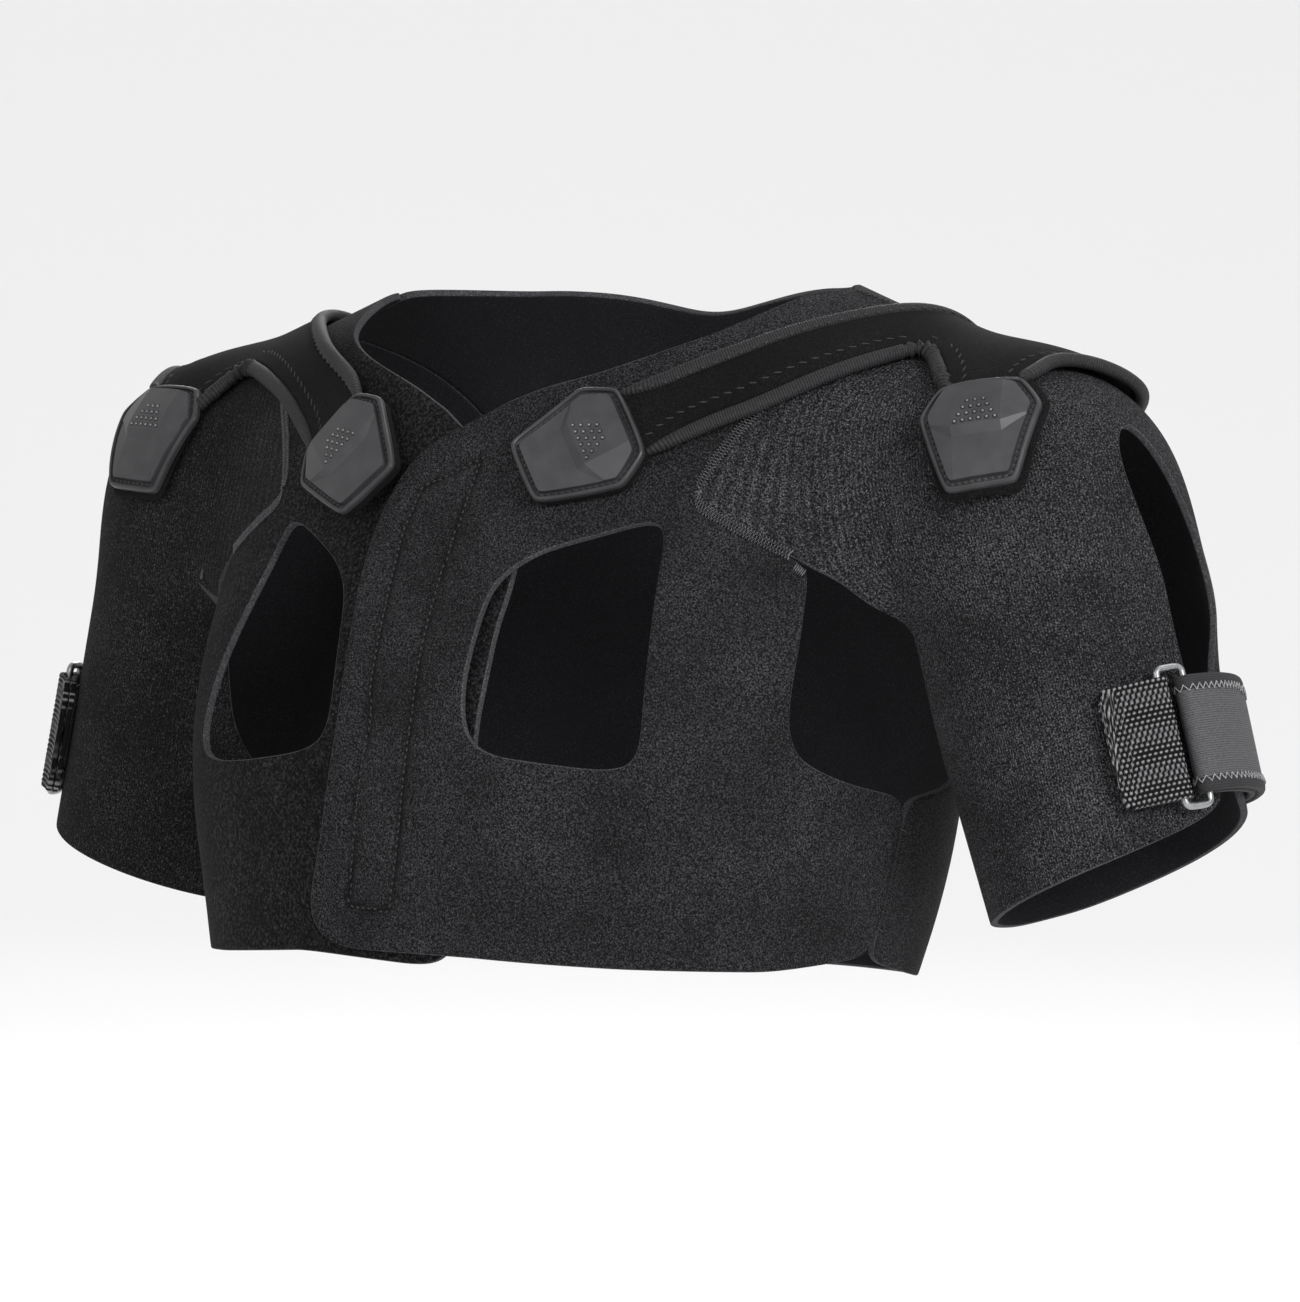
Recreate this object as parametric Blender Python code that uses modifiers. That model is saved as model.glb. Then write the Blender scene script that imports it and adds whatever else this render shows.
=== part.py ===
# Neoprene shoulder brace for both shoulders, in the shape it has when worn: a chest and back band with
# two chest windows, a short sleeve on each side, a forked tension strap over each shoulder ending in
# moulded pads, and an arm strap with a metal ring on each sleeve. Metres, +Z up, chest toward -Y,
# wearer's left toward +X, origin at the base of the neck.
import math

import bmesh
import bpy
import numpy as np

# Wearer's form that the cloth lies on
CHEST_HALF_WIDTH = 0.161
CHEST_HALF_DEPTH = 0.115
TRUNK_DROP = 0.350
TRUNK_SQUARENESS = 2.375
# drop below the neck base, half width, half depth, centre toward the back (shares of the three sizes above)
TRUNK_ROWS = (
    (-0.086, 0.292, 0.513, 0.113),
    (0.057, 0.851, 0.687, 0.148),
    (0.200, 0.944, 0.809, 0.070),
    (0.343, 1.000, 0.930, -0.017),
    (0.486, 0.994, 1.000, -0.070),
    (0.629, 0.932, 0.991, -0.096),
    (0.800, 0.826, 0.939, -0.183),
    (1.000, 0.720, 0.887, -0.252),
)
SHOULDER_HALF_SPAN = 0.196
SHOULDER_DROP = 0.069
SHOULDER_BACK = 0.024
NECK_SIDE_OUT = 0.0567
NECK_SIDE_BACK = 0.0265
NECK_SIDE_DROP = 0.0113
NECK_SIDE_RADIUS = 0.046
ARM_TOP_RADIUS = 0.0557
ARM_END_RADIUS = 0.0453
ARM_DROP = 0.360
ARM_SPREAD = 0.272
SHOULDER_BLEND = 0.047
ARMPIT_BLEND = 0.012
LIMB_BLEND = 0.020
SLOPE_TAPER = 0.92
# drops at which the blend of arm and trunk is narrow and wide, shares of the trunk drop
BLEND_NARROW, BLEND_WIDE = 0.57, 0.23
# side, shoulder out, shoulder back, elbow out (shares of half span and spread), elbow toward the back (m)
ARM_ROWS = ((1, 1.008, 1.0, 1.049, 0.0254), (-1, 0.989, 0.92, 0.950, 0.0050))
BONE_BEND = 0.050
UNDERARM_DROP = 0.100
UNDERARM_FADE = 0.050

# Where the pieces lie: level 0 is the armpit line, -1 the front hem, +1 the neckline
ARMPIT_DROP = 0.150
BAND_DROP = 0.088
NECK_RISE = 60.0
SLEEVE_RUN = 0.290

# Cloth and trim
PANEL_THICK = 0.0030
HOOK_THICK = 0.0014
STRAP_THICK = 0.0030
BINDING_WIDE = 0.0050
BINDING_THICK = 0.0042
WEBBING_THICK = 0.0020
WEBBING_SPAN = 0.047
ARM_STRAP_THICK = 0.0030
ARM_STRAP_SPAN = 0.045
LAYER_GAP = 0.0008
STRAP_GAP = 0.0014
SEAM_GAP = 0.0005
BINDING_TIP = 0.35
REAR_FLARE = 0.006

# Moulded pads
PAD_LENGTH = 0.047
PAD_HALF_WIDTH = 0.0238
PAD_EDGE_THICK = 0.0022
PAD_CROWN_THICK = 0.0046
PAD_INSET = 0.0005
# up the pad, half width (shares of length and half width)
PAD_ROWS = (
    (0.00, 0.52), (0.04, 0.64), (0.24, 0.75), (0.45, 0.87), (0.63, 0.98),
    (0.69, 1.00), (0.75, 0.97), (0.95, 0.72), (1.00, 0.60),
)
# side, along the sleeve run, turn around it, lean of the pad (degrees)
ARM_PAD_ROWS = {1: (0.483, 50.5, -10.5), -1: (0.462, 57.2, -4.7)}
CHEST_PAD_ROWS = {1: (0.049, 109.2, 56.7), -1: (0.048, 111.8, 49.8)}

# Ring, set at a turn round the arm and a share of the sleeve run; it holds the webbing and the arm strap
RING_BAR = 0.0033
RING_CORNER = 0.0045
RING_TURN = 20.0
RING_ALONG = 0.860
RING_CLEARANCE = 0.0003
RING_TALL_SLACK = 0.0034
RING_WIDE_SLACK = 0.0049
RING_TALL = WEBBING_SPAN + RING_TALL_SLACK + 2 * RING_BAR
RING_WIDE = WEBBING_THICK + ARM_STRAP_THICK + RING_WIDE_SLACK + 2 * RING_BAR
RING_LIFT = PANEL_THICK + LAYER_GAP + ARM_STRAP_THICK + RING_CLEARANCE + RING_BAR / 2

# Chest windows: turn round the trunk (degrees), level
WINDOW_LEFT = {
    "top": ((21, 0.46), (25, 0.51), (33, 0.56), (42, 0.58), (50, 0.585), (55, 0.57)),
    "inner": ((21, -0.105), (18.5, -0.05), (17, 0.07), (17, 0.17), (18, 0.27), (19, 0.37), (21, 0.46)),
    "outer": ((46.5, -0.165), (47.5, -0.11), (48, 0.06), (49.5, 0.21), (51, 0.34), (53, 0.45), (55, 0.57)),
    "bottom": ((21, -0.105), (24, -0.135), (29, -0.15), (37, -0.17), (43, -0.18), (46.5, -0.165)),
}
WINDOW_RIGHT = {
    "top": ((26, 0.45), (30, 0.505), (36, 0.545), (43, 0.57), (49, 0.58), (53, 0.57)),
    "inner": ((20.5, -0.11), (18, -0.05), (18, 0.05), (20, 0.20), (22, 0.32), (24, 0.40), (26, 0.45)),
    "outer": ((53, -0.165), (54.5, -0.11), (54, 0.07), (53, 0.16), (52, 0.25), (51.5, 0.42), (53, 0.57)),
    "bottom": ((20.5, -0.11), (25, -0.14), (33, -0.165), (40, -0.185), (49, -0.19), (53, -0.165)),
}
# Free front edges, hem to neckline, and the stitched-down edges of the hook strip
FLAP_EDGE = ((-11, -0.99), (-16.5, -0.94), (-18, -0.86), (-16.5, -0.72), (-14, -0.50), (-12.7, -0.17),
             (-13, 0.05), (-16, 0.33), (-20, 0.56), (-22, 0.70), (-21.5, 0.82), (-18, 0.90), (-12, 0.96), (-3, 1.00))
UNDER_EDGE = ((-14, -1.06), (-17.5, -1.00), (-18.5, -0.80), (-19, -0.09), (-19, 0.03), (-20, 0.16), (-21, 0.32),
              (-24, 0.52), (-24, 0.70), (-21, 0.86), (-12, 0.955))
# turns between which the left front is raised to lie on the right front, and the turn it takes to come down
FLAP_LIES_LEFT, FLAP_LIES_RIGHT, FLAP_FADE = 46.0, -62.0, 20.0
HOOK_OUTER = ((-8, -0.80), (-6.5, -0.44), (-6.5, 0.00), (-8.5, 0.11), (-11, 0.41), (-15, 0.66), (-13.5, 0.80))
HOOK_INNER = ((2.5, -0.82), (4, -0.44), (5, 0.00), (4, 0.23), (4, 0.52), (5, 0.72), (8, 0.87))
# Neckline, turn and level, from the front flap to the top of the shoulder, then round the back
NECK_FRONT = ((-3, 1.00), (7, 1.035), (17, 1.055), (32, 1.055), (45, 1.035), (61, 0.99))
NECK_SIDE = ((61, 0.99), (72, 0.965), (84, 0.96), (94, 0.955), (104, 0.93))
NECK_REAR = ((104, 0.93), (112, 0.935), (124, 0.96), (138, 0.99))
NECK_BACK = ((138, 0.99), (152, 1.01), (166, 1.02), (180, 1.02))
NECK_UNDER = ((-12, 0.955), (2, 1.000), (17, 1.050), (32, 1.055), (45, 1.035), (61, 0.99))
# Hems
HEM_FRONT = ((-11, -0.99), (21, -1.01), (46.5, -1.045), (70, -1.06), (90, -1.01))
HEM_SIDE = ((90, -1.03), (98, -1.08), (110, -1.13))
HEM_BACK = ((110, -1.13), (130, -1.15), (155, -1.15), (180, -1.15))
# Armhole under the arm, on the trunk side: front edge, band top, rear edge
HOLE_FRONT = ((70, -0.14), (68.8, -0.07), (68, 0.01), (69, 0.10), (71, 0.21))
HOLE_UNDER = ((70, -0.14), (73, -0.19), (79, -0.25), (90, -0.31))
HOLE_BEHIND = ((90, -0.31), (98, -0.30), (105, -0.25), (111, -0.16))
REAR_TIP_LEVEL = 0.36
REAR_YOKE_LEVEL = 0.60
HOLE_REAR = ((111, -0.16), (115, -0.08), (117, 0.01), (118, 0.12), (118, 0.22))

# Sleeve outline: share of the sleeve run, turn around the arm (0 outward, 90 forward, -90 backward)
CREST = ((0.285, 0), (0.400, 3), (0.522, 4))
SEAM_TOP = ((0.285, 0), (0.272, 30), (0.245, 60), (0.218, 88), (0.206, 102), (0.210, 110))
SEAM_DIAGONAL = ((0.210, 110), (0.247, 111), (0.297, 113), (0.347, 115.5), (0.400, 118))
HOLE_SLEEVE = ((0.400, 118), (0.454, 120), (0.509, 122))
HOLE_SLEEVE_LOW = ((0.509, 122), (0.559, 124), (0.607, 127), (0.674, 132), (0.725, 136), (0.775, 141))
HOLE_SLEEVE_INNER = ((0.775, 141), (0.815, 150), (0.840, 162), (0.850, 180))
SLIT_FRONT = ((0.522, 4), (0.532, 12), (0.550, 15), (0.593, 14), (0.627, 9), (0.659, 6), (0.706, 7), (0.775, 6))
SLIT_FRONT_LOW = ((0.775, 6), (0.820, 4), (0.880, 1), (0.947, -3))
SLIT_REAR = ((0.522, 4), (0.540, -1), (0.560, -5), (0.600, -12), (0.640, -19), (0.680, -23), (0.730, -17),
             (0.775, -13))
SLIT_REAR_LOW = ((0.775, -13), (0.820, -13), (0.880, -16), (0.947, -20))
HEM_SLEEVE_FRONT = ((0.947, -3), (0.967, 10), (0.989, 39), (1.000, 60), (1.012, 92), (1.020, 119), (1.024, 141))
HEM_SLEEVE_REAR = ((0.947, -20), (0.965, -45), (0.985, -80), (1.000, -110), (1.015, -141))
HEM_SLEEVE_INNER = 1.024
# the slit's rear edge stands off the arm: middle and reach along the run, turns where it starts and is full
FLARE_ALONG = 0.670
FLARE_REACH = 0.130
FLARE_START, FLARE_FULL = -60.0, -15.0

# Forked straps: share of the sleeve run, turn around it; neck edge, lower edge of the chest leg, inner edge of
# the arm leg, line behind the fork, outer edge
STRAP_LEFT = {
    "neck": ((0.049, 96), (0.101, 84), (0.146, 72), (0.175, 59), (0.205, 42), (0.240, 17), (0.262, -10),
             (0.270, -45), (0.262, -75), (0.250, -96)),
    "low": ((0.140, 108), (0.150, 104), (0.183, 96), (0.233, 85), (0.283, 67), (0.325, 48), (0.352, 33)),
    "crotch": ((0.425, 50), (0.405, 46), (0.378, 40), (0.352, 33)),
    "middle": ((0.352, 33), (0.362, 5), (0.362, -30), (0.345, -65), (0.325, -96)),
    "outer": ((0.487, 27), (0.470, 22), (0.462, 14), (0.466, 6), (0.480, -6), (0.490, -25), (0.462, -60),
              (0.400, -96)),
}
STRAP_RIGHT = {
    "neck": ((0.016, 99), (0.071, 86), (0.120, 74), (0.160, 60), (0.200, 42), (0.240, 17), (0.262, -10),
             (0.270, -45), (0.262, -75), (0.250, -96)),
    "low": ((0.140, 108), (0.150, 103), (0.171, 97), (0.201, 87), (0.259, 72), (0.303, 60), (0.338, 50)),
    "crotch": ((0.405, 66), (0.388, 60), (0.366, 55), (0.338, 50)),
    "middle": ((0.338, 50), (0.360, 10), (0.362, -30), (0.345, -65), (0.325, -96)),
    "outer": ((0.470, 38), (0.462, 30), (0.460, 20), (0.466, 8), (0.480, -6), (0.490, -25), (0.462, -60),
              (0.400, -96)),
}

# Webbing tab: turn past the ring's front bar, rise of the lower layer, rise of the upper layer (m)
TAB_ROWS = ((24, 0.0, 0.0), (18, 0.0, 0.0), (13, 0.0, 0.0004), (8, 0.0003, 0.0025))
# Arm strap behind the ring's rear bar: turn to where the under layer leaves the loop, to where the two layers
# are sewn, to the end; and turn and rise of the over layer as it comes down from the loop (m)
ARM_STRAP_LEAVES = 10.0
ARM_STRAP_SEWN = 69.0
ARM_STRAP_END = 119.0
ARM_STRAP_STEP = 14.0
ARM_STRAP_ROWS = ((12, 0.0026), (19, 0.0014), (28, 0.0004))


def material(name, rgb, rough, metal=0.0):
    made = bpy.data.materials.new(name)
    made.use_nodes = True
    shader = made.node_tree.nodes["Principled BSDF"]
    shader.inputs["Base Color"].default_value = (*rgb, 1.0)
    shader.inputs["Roughness"].default_value = rough
    shader.inputs["Metallic"].default_value = metal
    return made


# Wearer's form as a signed distance, negative inside
TRUNK_TABLE = np.array(TRUNK_ROWS)
TRUNK_Z = -TRUNK_TABLE[:, 0] * TRUNK_DROP


def row_value(z, column, size):
    values = TRUNK_TABLE[:, column] * size
    place = np.interp(-z, -TRUNK_Z, np.arange(len(TRUNK_Z)))
    low = np.clip(np.floor(place).astype(int), 0, len(TRUNK_Z) - 2)
    f = place - low
    v0 = values[np.clip(low - 1, 0, len(values) - 1)]
    v1 = values[low]
    v2 = values[low + 1]
    v3 = values[np.clip(low + 2, 0, len(values) - 1)]
    cubic = 2 * v1 + (v2 - v0) * f + (2 * v0 - 5 * v1 + 4 * v2 - v3) * f ** 2
    return 0.5 * (cubic + (3 * v1 - v0 - 3 * v2 + v3) * f ** 3)


def blend(a, b, width):
    h = np.clip(0.5 + 0.5 * (b - a) / width, 0, 1)
    return b * (1 - h) + a * h - width * h * (1 - h)


def cone(p, start, end, start_radius, end_radius):
    axis = end - start
    t = np.clip(((p - start) @ axis) / (axis @ axis), 0, 1)
    away = np.linalg.norm(p - start - t[:, None] * axis, axis=1)
    return away - (start_radius + (end_radius - start_radius) * t)


def joints(side):
    row = next(r for r in ARM_ROWS if r[0] == side)
    neck = np.array([side * NECK_SIDE_OUT, NECK_SIDE_BACK, -NECK_SIDE_DROP])
    shoulder = np.array([side * row[1] * SHOULDER_HALF_SPAN, row[2] * SHOULDER_BACK, -SHOULDER_DROP])
    elbow = np.array([side * row[3] * ARM_SPREAD, row[4], -ARM_DROP])
    return neck, shoulder, elbow


def form(p, keep="both"):
    # below the underarm the trunk pieces follow the trunk alone and the sleeves follow the arm alone
    z = p[:, 2]
    fade = np.clip((-UNDERARM_DROP - z) / UNDERARM_FADE, 0, 1)
    fade = 2 * UNDERARM_DROP * fade * fade * (3 - 2 * fade)
    wide = row_value(z, 1, CHEST_HALF_WIDTH)
    deep = row_value(z, 2, CHEST_HALF_DEPTH)
    back = row_value(z, 3, CHEST_HALF_DEPTH)
    n = TRUNK_SQUARENESS
    ratio = ((np.abs(p[:, 0]) / wide) ** n + (np.abs(p[:, 1] - back) / deep) ** n) ** (1 / n)
    trunk = (ratio - 1) * np.sqrt(wide * deep)
    trunk = np.maximum(trunk, z - TRUNK_Z[0])
    trunk = np.maximum(trunk, TRUNK_Z[-1] - z)
    limbs = None
    for side in (1, -1):
        neck, shoulder, elbow = joints(side)
        arm = cone(p, shoulder, elbow, ARM_TOP_RADIUS, ARM_END_RADIUS)
        slope = cone(p, neck, shoulder, NECK_SIDE_RADIUS, SLOPE_TAPER * ARM_TOP_RADIUS)
        limb = blend(arm, slope, LIMB_BLEND)
        limbs = limb if limbs is None else blend(limbs, limb, LIMB_BLEND)
    if keep == "sleeve":
        trunk = trunk + fade
    if keep == "trunk":
        limbs = limbs + fade
    rise = np.clip((z / TRUNK_DROP + BLEND_NARROW) / (BLEND_NARROW - BLEND_WIDE), 0, 1)
    width = ARMPIT_BLEND + (SHOULDER_BLEND - ARMPIT_BLEND) * rise * rise * (3 - 2 * rise)
    return blend(trunk, limbs, width)


def normals(p, keep="both"):
    step = 0.0004
    slopes = [form(p + step * axis, keep) - form(p - step * axis, keep) for axis in np.eye(3)]
    slopes = np.stack(slopes, -1)
    return slopes / np.linalg.norm(slopes, axis=1, keepdims=True)


def leave_form(start, way, keep, reach=0.32, steps=64):
    # first place where a ray from inside the form comes out
    t = np.linspace(0, reach, steps)
    places = start[:, None, :] + way[:, None, :] * t[None, :, None]
    outside = form(places.reshape(-1, 3), keep).reshape(len(start), steps) > 0
    outside[:, -1] = True
    first = np.maximum(np.argmax(outside, axis=1), 1)
    low = t[first - 1]
    high = t[first]
    for _ in range(12):
        mid = (low + high) / 2
        out = form(start + way * mid[:, None], keep) > 0
        high = np.where(out, mid, high)
        low = np.where(out, low, mid)
    return start + way * ((low + high) / 2)[:, None]


# Trunk places: turn in degrees (0 front, 90 wearer's left) and level
def trunk_point(places):
    places = np.asarray(places, float).reshape(-1, 2)
    turn = np.radians(places[:, 0])
    lift = np.radians(np.maximum(places[:, 1], 0) * NECK_RISE)
    z = -ARMPIT_DROP + np.minimum(places[:, 1], 0) * BAND_DROP
    start = np.stack([np.zeros(len(z)), row_value(z, 3, CHEST_HALF_DEPTH), z], 1)
    way = np.stack([np.sin(turn) * np.cos(lift), -np.cos(turn) * np.cos(lift), np.sin(lift)], 1)
    return leave_form(start, way, "trunk")


def trunk_place(points):
    z = np.minimum(points[:, 2], -ARMPIT_DROP)
    y = points[:, 1] - row_value(z, 3, CHEST_HALF_DEPTH)
    turn = np.degrees(np.arctan2(points[:, 0], -y))
    above = points[:, 2] + ARMPIT_DROP
    lift = np.degrees(np.arctan2(above, np.hypot(points[:, 0], y))) / NECK_RISE
    return np.stack([turn, np.where(above < 0, above / BAND_DROP, lift)], 1)


# Bone line of a sleeve: neck side to shoulder to elbow, bent smoothly at the shoulder
def bone(side):
    neck, shoulder, elbow = joints(side)
    before = shoulder + (neck - shoulder) * BONE_BEND / np.linalg.norm(neck - shoulder)
    after = shoulder + (elbow - shoulder) * BONE_BEND / np.linalg.norm(elbow - shoulder)
    t = np.linspace(0, 1, 60)[:, None]
    bend = (1 - t) ** 2 * before + 2 * t * (1 - t) * shoulder + t ** 2 * after
    upper = neck + (before - neck) * np.linspace(-0.3, 1, 80)[:-1, None]
    lower = after + (elbow - after) * np.linspace(0, 1, 200)[1:, None]
    line = np.vstack([upper, bend, lower])
    run = np.concatenate([[0], np.cumsum(np.linalg.norm(np.diff(line, axis=0), axis=1))])
    return run - run[np.argmin(np.linalg.norm(line - neck, axis=1))], line


BONES = {side: bone(side) for side in (1, -1)}


def bone_frame(side, run):
    runs, line = BONES[side]
    step = 0.001
    centre = np.stack([np.interp(run, runs, line[:, i]) for i in range(3)], 1)
    ahead = np.stack([np.interp(run + step, runs, line[:, i]) for i in range(3)], 1)
    behind = np.stack([np.interp(run - step, runs, line[:, i]) for i in range(3)], 1)
    along = (ahead - behind) / np.linalg.norm(ahead - behind, axis=1, keepdims=True)
    front = np.array([0.0, -1.0, 0.0]) - (-along[:, 1])[:, None] * along
    front /= np.linalg.norm(front, axis=1, keepdims=True)
    return centre, along, front, side * np.cross(front, along)


def sleeve_ray(side, places):
    places = np.asarray(places, float).reshape(-1, 2)
    centre, _, front, out = bone_frame(side, places[:, 0] * SLEEVE_RUN)
    turn = np.radians(places[:, 1])[:, None]
    return centre, out * np.cos(turn) + front * np.sin(turn)


def sleeve_point(side, places):
    return leave_form(*sleeve_ray(side, places), "sleeve", reach=0.22)


def sleeve_place(side, points):
    runs, line = BONES[side]
    runs = runs[2:-2]
    centre, along, _, _ = bone_frame(side, runs)
    found = []
    for point in points:
        ahead = ((point - centre) * along).sum(1)
        crossing = np.nonzero(np.sign(ahead[:-1]) != np.sign(ahead[1:]))[0]
        k = crossing[np.argmin(np.linalg.norm(point - centre[crossing], axis=1))]
        run = runs[k] + (runs[k + 1] - runs[k]) * ahead[k] / (ahead[k] - ahead[k + 1])
        here, _, front, out = bone_frame(side, np.array([run]))
        away = point - here[0]
        found.append((run / SLEEVE_RUN, math.degrees(math.atan2(away @ front[0], away @ out[0]))))
    return np.array(found)


# Edges and patches in a two-number place
def edge(points, count, weight=(1.0, 1.0)):
    # smooth line through the points, cut in equal lengths
    points = np.asarray(points, float)
    if len(points) == 2:
        fine = points[0] + (points[1] - points[0]) * np.linspace(0, 1, 33)[:, None]
    else:
        padded = np.vstack([2 * points[0] - points[1], points, 2 * points[-1] - points[-2]])
        f = np.linspace(0, 1, 17)[:-1, None]
        parts = []
        for a, b, c, d in zip(padded[:-3], padded[1:-2], padded[2:-1], padded[3:]):
            cubic = 2 * b + (c - a) * f + (2 * a - 5 * b + 4 * c - d) * f ** 2
            parts.append(0.5 * (cubic + (3 * b - a - 3 * c + d) * f ** 3))
        fine = np.vstack(parts + [points[-1:]])
    run = np.concatenate([[0], np.cumsum(np.linalg.norm(np.diff(fine * weight, axis=0), axis=1))])
    wanted = np.linspace(0, run[-1], count + 1)
    return np.stack([np.interp(wanted, run, fine[:, i]) for i in range(fine.shape[1])], 1)


def patch(bottom, top, left, right):
    # bottom and top run left to right, left and right run bottom to top
    u = np.linspace(0, 1, len(bottom))[None, :, None]
    v = np.linspace(0, 1, len(left))[:, None, None]
    sides = (1 - u) * left[:, None] + u * right[:, None]
    ends = (1 - v) * bottom[None] + v * top[None]
    corners = (1 - u) * (1 - v) * bottom[0] + u * (1 - v) * bottom[-1] + (1 - u) * v * top[0] + u * v * top[-1]
    return sides + ends - corners


def mirror_turn(points):
    return [(a, -b) for a, b in points]


def on_trunk(grid):
    return trunk_point(grid.reshape(-1, 2)).reshape(*grid.shape[:2], 3)


def on_sleeve(side, grid):
    return sleeve_point(side, grid.reshape(-1, 2)).reshape(*grid.shape[:2], 3)


# Solid sheets
def new_object(name, mesh_maker, made):
    mesh = bpy.data.meshes.new(name)
    bmesh.ops.recalc_face_normals(mesh_maker, faces=mesh_maker.faces)
    if mesh_maker.calc_volume(signed=True) < 0:
        bmesh.ops.reverse_faces(mesh_maker, faces=mesh_maker.faces)
    mesh_maker.to_mesh(mesh)
    mesh_maker.free()
    thing = bpy.data.objects.new(name, mesh)
    PARTS.objects.link(thing)
    mesh.materials.append(made)
    mesh.shade_smooth()
    mesh.set_sharp_from_angle(angle=math.radians(50))
    return thing


def grid_into(bm, points):
    rows, columns = points.shape[:2]
    made = bmesh.ops.create_grid(bm, x_segments=columns - 1, y_segments=rows - 1, size=0.5)
    for vert in made["verts"]:
        column = round((vert.co.x + 0.5) * (columns - 1))
        row = round((vert.co.y + 0.5) * (rows - 1))
        vert.co = points[row, column]


def sheet(name, grids, made, thick, lift=0.0, keep="trunk", inset=SEAM_GAP / 2):
    # welds the grids, draws their rim in by half a seam gap and gives them thickness away from the form
    bm = bmesh.new()
    for grid in grids:
        grid_into(bm, grid)
    bmesh.ops.remove_doubles(bm, verts=bm.verts, dist=0.00002)
    moves = []
    for vert in bm.verts:
        if not vert.is_boundary:
            continue
        inner = [e.other_vert(vert).co for e in vert.link_edges if not e.is_boundary]
        if not inner:
            inner = [face.calc_center_median() for face in vert.link_faces]
        toward = sum(inner[1:], inner[0]) / len(inner) - vert.co
        moves.append((vert, toward.normalized() * inset))
    for vert, move in moves:
        vert.co += move
    base = np.array([vert.co for vert in bm.verts])
    out = normals(base, keep)
    low = lift(base) if callable(lift) else lift
    high = low + (thick(base) if callable(thick) else thick)
    inner = base + out * np.reshape(low, (-1, 1))
    outer = base + out * np.reshape(high, (-1, 1))
    below = list(bm.verts)
    copied = bmesh.ops.duplicate(bm, geom=list(bm.verts) + list(bm.edges) + list(bm.faces))
    above = {vert: copied["vert_map"][vert] for vert in below}
    rims = [e for e in bm.edges if e.is_boundary and e.verts[0] in above]
    for vert, low_place, high_place in zip(below, inner, outer):
        vert.co = low_place
        above[vert].co = high_place
    for rim in rims:
        a, b = rim.verts
        bm.faces.new((a, b, above[b], above[a]))
    return new_object(name, bm, made)


for old_object in list(bpy.data.objects):
    bpy.data.objects.remove(old_object)
PARTS = bpy.data.collections.new("shoulder_brace")
bpy.context.scene.collection.children.link(PARTS)

NEOPRENE = material("neoprene_pile_black", (0.013, 0.013, 0.014), 0.92)
SLEEVE_CLOTH = material("neoprene_loop_black", (0.011, 0.011, 0.012), 0.95)
STRAP_CLOTH = material("strap_knit_black", (0.015, 0.015, 0.016), 0.85)
BINDING_CLOTH = material("binding_grey", (0.048, 0.048, 0.050), 0.75)
PAD_RUBBER = material("moulded_rubber_grey", (0.052, 0.052, 0.055), 0.45)
WEBBING = material("webbing_black", (0.030, 0.030, 0.032), 0.85)
ARM_STRAP_CLOTH = material("strap_jersey_grey", (0.085, 0.085, 0.088), 0.90)
RING_METAL = material("ring_metal", (0.42, 0.43, 0.44), 0.35, 1.0)
HOOK_TAPE = material("hook_tape_black", (0.010, 0.010, 0.011), 0.85)

TRUNK_WEIGHT = (0.0024, 0.088)
SLEEVE_WEIGHT = (0.29, 0.001)


def trunk_edge(points, count):
    return edge(points, count, TRUNK_WEIGHT)


def sleeve_edge(points, count):
    return edge(points, count, SLEEVE_WEIGHT)


def flap_rise(points):
    # the left front lies over the right front and the hook strip near the middle
    turn = trunk_place(points)[:, 0]
    over = PANEL_THICK + HOOK_THICK + 2 * LAYER_GAP
    f = np.clip((FLAP_LIES_LEFT - turn) / FLAP_FADE, 0, 1) * np.clip((turn - FLAP_LIES_RIGHT) / FLAP_FADE, 0, 1)
    return over * f * f * (3 - 2 * f)


# Left and right front panels
def seam_places(side, points, count):
    line = sleeve_point(side, sleeve_edge(points, count))
    place = trunk_place(line)
    return np.stack([side * place[:, 0], place[:, 1]], 1)


# cells across and along the pieces
CENTRE, ACROSS, FLANK, BACK = 3, 6, 3, 7
BAND, TALL, UPPER = 4, 7, 4
SHOULDER = 7
DIAGONAL = 4
LEG_ROWS, FORK_ROWS, BACK_ROWS = 9, 4, 12
LEG_COLUMNS, ARM_LEG_COLUMNS, BADGE_COLUMNS = 3, 4, 4
LOOP_STEPS = 5
BAND_ROWS = 3
RING_CORNER_STEPS = 3


def between(points, level):
    # place on a line of rising levels where it reaches the given level
    points = np.asarray(points, float)
    return (float(np.interp(level, points[:, 1], points[:, 0])), level)


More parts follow.
